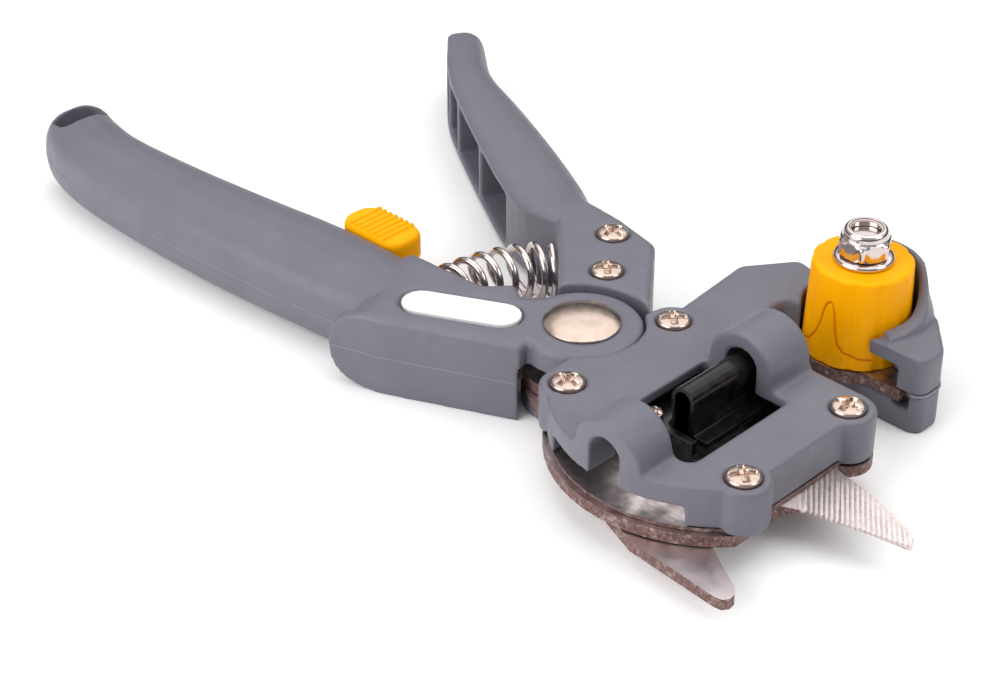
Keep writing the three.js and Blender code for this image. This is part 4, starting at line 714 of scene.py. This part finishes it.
# How high a screw head is, how its dome falls and how its rim rolls over.
HEAD_HEIGHT, DOME_CURVE, RIM_CURVE, RIM_ROLL = 1.6 * MM, 2.4, 16.0, 0.35 * MM
# The recess is a little over half as deep at its wings' ends as at its core, which is wider than the wings.
WING_END, WING_DEPTH, CORE_SHARE = 0.62, 0.55, 1.75


def screw_tree():
    """Domed screw heads with a cross recess, one at each point."""
    size = sizes()
    # The radius and the length of the recess are given before each run.
    inputs = {
        "Head radius": 0.0, "Head height": HEAD_HEIGHT, "Dome": size.head_dome, "Recess length": 0.0,
        "Recess width": size.recess_width, "Recess depth": size.recess_depth, "Slope": 0.34 * MM,
        "Sides": 112, "Rings": 36, "Turn": 2.4,
    }
    tree = FormTree("Screw heads", inputs)
    given = tree.inputs
    drum = {
        "Vertices": given["Sides"], "Side Segments": 3, "Fill Segments": given["Rings"],
        "Radius": given["Head radius"], "Depth": given["Head height"],
    }
    head = tree.add("GeometryNodeMeshCylinder", drum, fill_type="TRIANGLE_FAN").outputs["Mesh"]
    x, y, z = tree.parts_of(tree.add("GeometryNodeInputPosition"))
    far = tree.math("SQRT", tree.math("ADD", tree.times(x, x), tree.times(y, y)))
    out = tree.math("DIVIDE", far, given["Head radius"])
    top = tree.math("GREATER_THAN", z, 0.0)
    # The dome falls away in a curve and ends in a rounded rim.
    fall = tree.math("SUBTRACT", 1.0, tree.math("POWER", out, DOME_CURVE))
    rim = tree.times(tree.math("POWER", out, RIM_CURVE), RIM_ROLL)
    rise = tree.math("SUBTRACT", tree.times(fall, given["Dome"]), rim)
    half_long = tree.times(given["Recess length"], 0.5)
    half_wide = tree.times(given["Recess width"], 0.5)
    wings = []
    for along, across in ((x, y), (y, x)):
        reach = tree.fade(tree.math("ABSOLUTE", along), half_long, given["Slope"])
        slot = tree.fade(tree.math("ABSOLUTE", across), half_wide, given["Slope"])
        wings.append(tree.times(reach, slot))
    shallower = tree.span(out, low=1.0, high=WING_DEPTH, start=0.0, end=WING_END)
    cross = tree.times(tree.math("MAXIMUM", *wings), shallower)
    core = tree.fade(far, tree.times(half_wide, CORE_SHARE), given["Slope"])
    sunk = tree.times(tree.math("MAXIMUM", cross, core), given["Recess depth"])
    lift = tree.times(tree.math("SUBTRACT", rise, sunk), top)
    shaped = tree.add("GeometryNodeSetPosition", {"Geometry": head, "Offset": tree.vector(0.0, 0.0, lift)})
    spin = tree.times(tree.add("GeometryNodeInputIndex").outputs[0], given["Turn"])
    seated = {"Points": given["Geometry"], "Instance": shaped, "Rotation": tree.vector(0.0, 0.0, spin)}
    tree.close(tree.add("GeometryNodeInstanceOnPoints", seated), "warm_nickel")
    return tree


# The coil's fineness along and round the wire, and the gap that its ends keep, in wire radii.
STEPS_PER_TURN, WIRE_SIDES, END_GAP = 64, 16, 1.1
# The first and the last turn close up: this share of the turns at each end doesn't advance on its own.
CLOSED_SHARE = 0.06
LEAN_CURVE = 4.0


def spring_tree():
    """One unbroken coil, bent round the pivot, that widens from its small end to its large one."""
    size = sizes()
    inputs = {
        "Small radius": size.spring_small, "Large radius": size.spring_large, "Wire radius": size.spring_wire,
        "Turns": size.spring_turns, "Lean": size.spring_lean, "Steps": int(size.spring_turns * STEPS_PER_TURN),
    }
    tree = FormTree("Return spring", inputs)
    given = tree.inputs
    line = tree.add("GeometryNodeCurvePrimitiveLine", {"Start": SPRING_FROM, "End": SPRING_TO})
    fine = tree.add("GeometryNodeResampleCurve", {"Curve": line, "Count": given["Steps"]})
    share = tree.add("GeometryNodeSplineParameter").outputs["Factor"]
    # How far along its middle line the coil is: half by its turns alone, half by its open turns.
    gap = tree.times(given["Wire radius"], END_GAP)
    lead = tree.math("DIVIDE", gap, (SPRING_TO - SPRING_FROM).length)
    open_part = tree.span(share, start=CLOSED_SHARE, end=1 - CLOSED_SHARE)
    eased = tree.math("ADD", tree.times(open_part, 0.5), tree.times(share, 0.5))
    free = tree.math("SUBTRACT", 1.0, tree.times(lead, 2.0))
    along = tree.math("MULTIPLY_ADD", eased, free, lead)
    bend = tree.math("MULTIPLY_ADD", along, SPRING_SWEEP, SPRING_START)
    orbit = tree.math("MULTIPLY_ADD", along, SPRING_DRIFT, SPRING_ORBIT)
    widening = tree.math("SUBTRACT", given["Large radius"], given["Small radius"])
    radius = tree.math("ADD", given["Small radius"], tree.times(widening, share))
    angle = tree.times(share, tree.times(given["Turns"], 2 * math.pi))
    up = tree.math("MULTIPLY_ADD", radius, tree.math("COSINE", angle), SPRING_LEVEL)
    # Between its ends the coil leans, as a bent spring's turns do.
    aside = tree.times(radius, tree.math("SINE", angle))
    from_middle = tree.math("ABSOLUTE", tree.math("MULTIPLY_ADD", share, 2.0, -1.0))
    inner = tree.math("SUBTRACT", 1.0, tree.math("POWER", from_middle, LEAN_CURVE))
    leaning = tree.times(inner, given["Lean"])
    outward = tree.math("MULTIPLY_ADD", aside, tree.math("COSINE", leaning), orbit)
    forward = tree.times(aside, tree.math("SINE", leaning))
    bend = tree.math("SUBTRACT", bend, tree.math("DIVIDE", forward, orbit))
    place = tree.vector(
        tree.times(outward, tree.math("COSINE", bend)),
        tree.times(outward, tree.math("SINE", bend)),
        up,
    )
    coil = tree.add("GeometryNodeSetPosition", {"Geometry": fine, "Position": place})
    tree.close(tree.tube(coil, WIRE_SIDES, given["Wire radius"]), "chrome")
    return tree


SEAM_STEP, SEAM_SIDES = 0.6 * MM, 6


def seam_tree():
    """A fine ridge along a line, painted pale as a highlight, its size given before each run."""
    tree = FormTree("Parting line", {"Ridge": 0.0, "Step": SEAM_STEP})
    given = tree.inputs
    curve = tree.add("GeometryNodeMeshToCurve", {"Mesh": given["Geometry"]})
    even = tree.add("GeometryNodeResampleCurve", {"Curve": curve, "Length": given["Step"]}, mode="LENGTH")
    tree.close(tree.tube(even, SEAM_SIDES, given["Ridge"]), "flash")
    return tree


def turned_ring(name, profile, centre, sides, shaped=None):
    """A ring turned from a closed outline of (radius, height) points, which shaped may cut to flats."""
    shape = bmesh.new()
    rings = []
    for radius, height in profile:
        ring = []
        for k in range(sides):
            angle = 2 * math.pi * k / sides
            far = shaped(radius, angle) if shaped else radius
            place = (centre[0] + far * math.cos(angle), centre[1] + far * math.sin(angle), height)
            ring.append(shape.verts.new(place))
        rings.append(ring)
    for low, high in zip(rings, rings[1:] + rings[:1]):
        for k in range(sides):
            onward = (k + 1) % sides
            shape.faces.new((low[k], low[onward], high[onward], high[k]))
    bmesh.ops.recalc_face_normals(shape, faces=shape.faces)
    mesh = bpy.data.meshes.new(name)
    shape.to_mesh(mesh)
    shape.free()
    mesh.shade_smooth()
    mesh.set_sharp_from_angle(angle=TURNED_SHARP)
    return new_object(name, mesh)


# Pieces.

# Closed outlines as (radius in millimetres, height). The nut's and the nylon's heights are millimetres
# above the nut's foot, the washer's are shares of its thickness.
NUT_HEIGHT = 5.8
NUT_PROFILE = (
    (3.1, 0), (4.7, 0), (5.1, 0.14), (5.8, 0.5), (5.8, 3.0), (5.5, 3.35), (5.05, 3.75), (4.72, 3.95),
    (4.62, 4.15), (4.6, 4.7), (4.5, 5.15), (4.28, 5.5), (3.95, 5.72), (3.6, NUT_HEIGHT), (3.42, 5.74),
    (3.36, 5.55), (3.36, 5.1), (3.1, 5.1),
)
NYLON_PROFILE = ((3.05, 5.15), (3.34, 5.15), (3.34, 5.48), (3.25, 5.56), (3.1, 5.5))
WASHER_PROFILE = (
    (3.1, 0.1), (3.25, 0), (5.95, 0), (6.15, 0.12), (6.2, 0.35), (6.1, 0.6), (5.8, 0.78), (5.2, 0.9),
    (3.3, 1), (3.1, 0.9),
)
NUT_SIDES, NYLON_SIDES, WASHER_SIDES = 144, 72, 96
BOLT_EDGE, PIVOT_EDGE = 0.2 * MM, 0.1 * MM
# The rivet's dome is made of facets that turn by less than this, in degrees.
RIVET_FLAT = 0.2

MOULDINGS = (
    ("long_handle", "long_grip", FIXED),
    ("short_handle", "short_grip", SHORT),
    ("head_cover", "cover_shell", FIXED),
    ("arm_underside", "arm_lower_shell", FIXED),
)
# The yellow pieces have a finer skin than the dark ones, and fewer smoothing passes.
YELLOW_STEP_SHARE, ANVIL_ROUNDS, LOCK_ROUNDS = 0.6, 3, 7
# Parting lines: the level of the outline, the level that it lies at, and its share of the ridge size.
SEAMS = (
    ("long_grip", FIXED, 9.0 * MM, 9.0 * MM, 1.0),
    ("arm_lower_shell", FIXED, 7.0 * MM, 8.85 * MM, 2.2),
)


class PRUNER_OT_mouldings(bpy.types.Operator):
    """Skin both levers, the head cover and the arm as mouldings"""

    bl_idname = "pruner.mouldings"
    bl_label = "Dark Mouldings"

    def execute(self, context):
        for node, name, body in MOULDINGS:
            piece = moulded_skin(node, name, sizes().skin_step, sizes().skin_rounds)
            if node == "long_handle":
                fuller_shoulder(piece)
            dressed(piece, body, "dark_plastic", node)
        return {"FINISHED"}


# The shoulder's round end starts at these places, in millimetres, and is carried fully back this far on.
SHOULDER_SIDE, SHOULDER_SIDE_FULL = -25.5, 3.5
SHOULDER_REAR, SHOULDER_REAR_FULL = -28, 9


def gentle(share):
    """A share of 0 to 1 that starts and ends gently."""
    return share * share * (3 - 2 * share)


def fuller_shoulder(piece):
    """Carries the boxed shoulder's round end a little further back."""
    for vert in piece.data.vertices:
        x, y, _ = vert.co / MM
        if y < SHOULDER_SIDE and x < SHOULDER_REAR:
            outer = min(1.0, (SHOULDER_SIDE - y) / SHOULDER_SIDE_FULL)
            rear = min(1.0, (SHOULDER_REAR - x) / SHOULDER_REAR_FULL)
            vert.co.x -= sizes().shoulder_reach * gentle(outer) * gentle(rear)


class PRUNER_OT_seams(bpy.types.Operator):
    """Raise the parting lines of the mouldings, painted pale as a highlight"""

    bl_idname = "pruner.seams"
    bl_label = "Parting Lines"

    def execute(self, context):
        tree = seam_tree()
        for name, body, level, place, thickness in SEAMS:
            tree.give("Ridge", sizes().seam_ridge * thickness)
            ring = [Vector((p.x, p.y, place)) for p in outline_at(bpy.data.objects[name], level)]
            line = tree.run(f"{name}_seam", ring, [(k, k + 1) for k in range(len(ring) - 1)])
            dressed(line, body, "flash")
        return {"FINISHED"}


class PRUNER_OT_yellow(bpy.types.Operator):
    """Skin the round anvil and the lock slider"""

    bl_idname = "pruner.yellow"
    bl_label = "Anvil and Lock"

    def execute(self, context):
        step = YELLOW_STEP_SHARE * sizes().skin_step
        anvil = moulded_skin("anvil", "anvil_block", step, ANVIL_ROUNDS)
        cut_wave(anvil)
        dressed(anvil, ANVIL, "yellow_plastic", "anvil")
        slide = moulded_skin("lock_slider", "lock_slide", step, LOCK_ROUNDS)
        dressed(slide, LOCK, "yellow_plastic", "lock_slider")
        return {"FINISHED"}


class PRUNER_OT_inlay(bpy.types.Operator):
    """Finish the bare oblong inlay of the long lever"""

    bl_idname = "pruner.inlay"
    bl_label = "Inlay"

    def execute(self, context):
        finished("handle_inlay", "inlay_plate", FIXED, "white_plastic", sizes().trim_edge)
        return {"FINISHED"}


class PRUNER_OT_steelwork(bpy.types.Operator):
    """Break the edges of the plates and blades and grind their faces"""

    bl_idname = "pruner.steelwork"
    bl_label = "Plates and Blades"

    def execute(self, context):
        edge = sizes().plate_edge
        finished("guide_plate", "guide_plate_ground", FIXED, "ground_steel", edge)
        finished("plain_blade", "plain_blade_ground", SHORT, "blade_steel", edge)
        plate = halved(welded("base_plate", "base_plate_ground"), (SAW_CUT * MM, 0, 0), (-1, 0, 0))
        dressed(edged(plate, edge), FIXED, "ground_steel", "base_plate")
        blade_faces(dressed(saw_blade(), FIXED, "saw_steel", "base_plate"))
        return {"FINISHED"}


class PRUNER_OT_cutter(bpy.types.Operator):
    """Finish the sliding carriage and its omega blade"""

    bl_idname = "pruner.cutter"
    bl_label = "Grafting Blade"

    def execute(self, context):
        edge = sizes().plate_edge
        for node, name in (("blade_carriage", "carriage_block"), ("omega_blade", "omega_edge")):
            finished(node, name, CUTTER, "black_steel", edge)
        finished("drive_pin", "drive_stud", SHORT, "chrome", edge)
        return {"FINISHED"}


def screw_seat(node):
    """The middle of a screw head's top and the head's radius, read from its solid."""
    low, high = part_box(node)
    return Vector(((low.x + high.x) / 2, (low.y + high.y) / 2, high.z)), (high.x - low.x) / 2


class PRUNER_OT_screws(bpy.types.Operator):
    """Set the cross-recessed screws in the cover, the short lever and the carriage"""

    bl_idname = "pruner.screws"
    bl_label = "Screws"

    def execute(self, context):
        tree = screw_tree()
        groups = (
            ("cover_screw_heads", FIXED, [f"cover_screw_{k}" for k in (1, 2, 3, 4)]),
            ("handle_screw_heads", SHORT, ["handle_screw_1", "handle_screw_2"]),
            ("blade_screw_head", CUTTER, ["blade_screw"]),
        )
        below = Vector((0, 0, HEAD_HEIGHT / 2 + sizes().head_dome))
        for name, body, nodes in groups:
            seats = [screw_seat(node) for node in nodes]
            radius = seats[0][1]
            tree.give("Head radius", radius)
            tree.give("Recess length", 2 * radius * sizes().recess_share)
            piece = tree.run(name, [place - below for place, _ in seats])
            piece.data.set_sharp_from_angle(angle=SCREW_SHARP)
            dressed(piece, body, "warm_nickel", *nodes)
        return {"FINISHED"}


class PRUNER_OT_pivot(bpy.types.Operator):
    """Turn the domed rivet and the spacer under it"""

    bl_idname = "pruner.pivot"
    bl_label = "Pivot"

    def execute(self, context):
        finished("pivot_rivet", "rivet_turned", FIXED, "warm_nickel", PIVOT_EDGE, RIVET_FLAT)
        finished("pivot_spacer", "spacer_ring", FIXED, "chrome", PIVOT_EDGE)
        return {"FINISHED"}


class PRUNER_OT_anvil_fittings(bpy.types.Operator):
    """Finish the anvil's bolt, washer and lock nut"""

    bl_idname = "pruner.anvil_fittings"
    bl_label = "Anvil Fittings"

    def execute(self, context):
        low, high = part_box("anvil_nut")
        centre = (low + high) / 2
        flats = (high.y - low.y) / 2
        rise = (high.z - low.z) / NUT_HEIGHT
        finished("anvil_bolt", "bolt", FIXED, "chrome", BOLT_EDGE)

        def hexagon(radius, angle):
            """A radius kept within the nut's six flats."""
            from_flat = (angle - math.pi / 2 + math.pi / 6) % (math.pi / 3) - math.pi / 6
            return min(radius, flats / math.cos(from_flat))

        def turned(name, profile, foot, unit, sides, finish, *nodes, shaped=None):
            outline = [(radius * MM, foot + height * unit) for radius, height in profile]
            dressed(turned_ring(name, outline, centre, sides, shaped), FIXED, finish, *nodes)

        turned("lock_nut", NUT_PROFILE, low.z, rise, NUT_SIDES, "chrome", "anvil_nut", shaped=hexagon)
        turned("nut_ring", NYLON_PROFILE, low.z, rise, NYLON_SIDES, "nylon")
        low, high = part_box("anvil_washer")
        turned("washer", WASHER_PROFILE, low.z, high.z - low.z, WASHER_SIDES, "chrome", "anvil_washer")
        return {"FINISHED"}


class PRUNER_OT_spring(bpy.types.Operator):
    """Wind the return spring between the levers"""

    bl_idname = "pruner.spring"
    bl_label = "Return Spring"

    def execute(self, context):
        piece = spring_tree().run("spring_coil", [SPRING_FROM])
        piece.data.materials.clear()
        piece.data.materials.append(material("chrome"))
        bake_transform(piece)
        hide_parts("return_spring")
        return {"FINISHED"}


# Studio.

CAMERA_PLACE = (259.93 * MM, -287.90 * MM, 265.85 * MM)
CAMERA_TURN = (57.0, 0.0, 44.5)
CAMERA_LENS, CAMERA_SENSOR, CAMERA_NEAR = 82.8, 36.0, 0.01
FLOOR_RADIUS, FLOOR_SIDES, FLOOR_ROUGHNESS, FLOOR_GLOSS = 4.0, 96, 0.75, 0.1
# Name, setting of its power, place and width of each lamp, in metres.
LAMPS = (
    ("key_lamp", "key", (-0.15, 0.35, 0.95), 1.7),
    ("front_lamp", "front", (-0.3, -1.0, 0.62), 1.2),
    ("back_lamp", "back", (0.75, 0.35, 0.6), 0.5),
)
# Brightness of the room at heights from the horizon up: dark walls between the floor and the white ceiling.
HORIZON, ZENITH = 0.5, 0.95
SKY_STOPS = ((0.06, 0.1), (0.3, 0.16), (0.42, 0.75), (0.62, 0.8), (0.7, 0.35), (0.82, 0.9))


def floor_finish():
    """Pale seamless paper."""
    finish = Finish("pale floor")
    tone = tuple(bpy.context.scene.pruner_studio.floor)
    paper = finish.pattern(60 * MM, detail=2)
    finish.set(Base_Color=finish.blend(paper, scaled(tone, 0.995), tone))
    finish.set(Roughness=FLOOR_ROUGHNESS, Specular_IOR_Level=FLOOR_GLOSS)
    return finish.material


def studio_world(strength):
    world = bpy.data.worlds.new("Studio")
    bpy.context.scene.world = world
    world.use_nodes = True
    nodes = NodeBuilder(world.node_tree)
    background = world.node_tree.nodes["Background"]
    place = nodes.add("ShaderNodeTexCoord").outputs["Generated"]
    height = nodes.add("ShaderNodeSeparateXYZ", {"Vector": place}).outputs["Z"]
    ramp = nodes.add("ShaderNodeValToRGB", {"Fac": height})
    stops = ramp.color_ramp.elements
    for stop, level in zip(stops, (HORIZON, ZENITH)):
        stop.color = (level, level, level, 1)
    for position, level in SKY_STOPS:
        stops.new(position).color = (level, level, level, 1)
    nodes.feed(background.inputs["Color"], ramp)
    background.inputs["Strength"].default_value = strength


def lay_floor():
    """A round floor at the height that the tool lies on."""
    low = CAD_BOX[0].z
    mesh = bpy.data.meshes.new("floor")
    angles = np.linspace(0, 2 * math.pi, FLOOR_SIDES + 1)[:-1]
    rim = [(FLOOR_RADIUS * math.cos(a), FLOOR_RADIUS * math.sin(a), low) for a in angles]
    mesh.from_pydata(rim, [], [range(FLOOR_SIDES)])
    mesh.materials.append(floor_finish())
    new_object("floor", mesh)


def hang_lamp(name, power, place, width):
    """A round soft lamp that looks at the middle of the tool."""
    lamp = bpy.data.lights.new(name, "AREA")
    lamp.shape, lamp.size, lamp.energy = "DISK", width, power
    hung = new_object(name, lamp)
    hung.location = place
    middle = (CAD_BOX[0] + CAD_BOX[1]) / 2
    hung.rotation_euler = (middle - Vector(place)).to_track_quat("-Z", "Y").to_euler()


class PRUNER_OT_stage(bpy.types.Operator):
    """Lay the pale floor, hang the soft lamps and set the camera"""

    bl_idname = "pruner.stage"
    bl_label = "Studio"

    def execute(self, context):
        scene, studio = context.scene, context.scene.pruner_studio
        lay_floor()
        studio_world(studio.world)
        for name, power, place, width in LAMPS:
            hang_lamp(name, getattr(studio, power), place, width)
        lens = bpy.data.cameras.new("camera")
        lens.sensor_width, lens.lens, lens.clip_start = CAMERA_SENSOR, CAMERA_LENS, CAMERA_NEAR
        camera = new_object("camera", lens)
        camera.location = CAMERA_PLACE
        camera.rotation_euler = [math.radians(a) for a in CAMERA_TURN]
        scene.camera = camera
        scene.view_settings.view_transform = "Standard"
        return {"FINISHED"}


class PRUNER_PT_build(bpy.types.Panel):
    """Steps of the build, in order"""

    bl_idname = "PRUNER_PT_build"
    bl_label = "Grafting Pruner"
    bl_space_type = "VIEW_3D"
    bl_region_type = "UI"
    bl_category = "Pruner"

    def draw(self, context):
        for setting, _ in SETTINGS:
            group = getattr(context.scene, setting)
            box = self.layout.box()
            for key in group.__annotations__:
                box.prop(group, key)
        for step in STEPS:
            self.layout.operator(step.bl_idname)


STEPS = (
    PRUNER_OT_mouldings,
    PRUNER_OT_seams,
    PRUNER_OT_yellow,
    PRUNER_OT_inlay,
    PRUNER_OT_steelwork,
    PRUNER_OT_cutter,
    PRUNER_OT_screws,
    PRUNER_OT_pivot,
    PRUNER_OT_anvil_fittings,
    PRUNER_OT_spring,
    PRUNER_OT_stage,
)
SETTINGS = (
    ("pruner_sizes", PrunerSizes),
    ("pruner_colours", PrunerColours),
    ("pruner_studio", StudioSettings),
)


def register():
    for name, group in SETTINGS:
        bpy.utils.register_class(group)
        setattr(bpy.types.Scene, name, bpy.props.PointerProperty(type=group))
    for step in (*STEPS, PRUNER_PT_build):
        bpy.utils.register_class(step)


def unregister():
    for step in (PRUNER_PT_build, *reversed(STEPS)):
        bpy.utils.unregister_class(step)
    for name, group in reversed(SETTINGS):
        delattr(bpy.types.Scene, name)
        bpy.utils.unregister_class(group)


def main():
    register()
    bpy.ops.pruner.mouldings()
    bpy.ops.pruner.seams()
    bpy.ops.pruner.yellow()
    bpy.ops.pruner.inlay()
    bpy.ops.pruner.steelwork()
    bpy.ops.pruner.cutter()
    bpy.ops.pruner.screws()
    bpy.ops.pruner.pivot()
    bpy.ops.pruner.anvil_fittings()
    bpy.ops.pruner.spring()
    bpy.ops.pruner.stage()


if __name__ == "__main__":
    main()
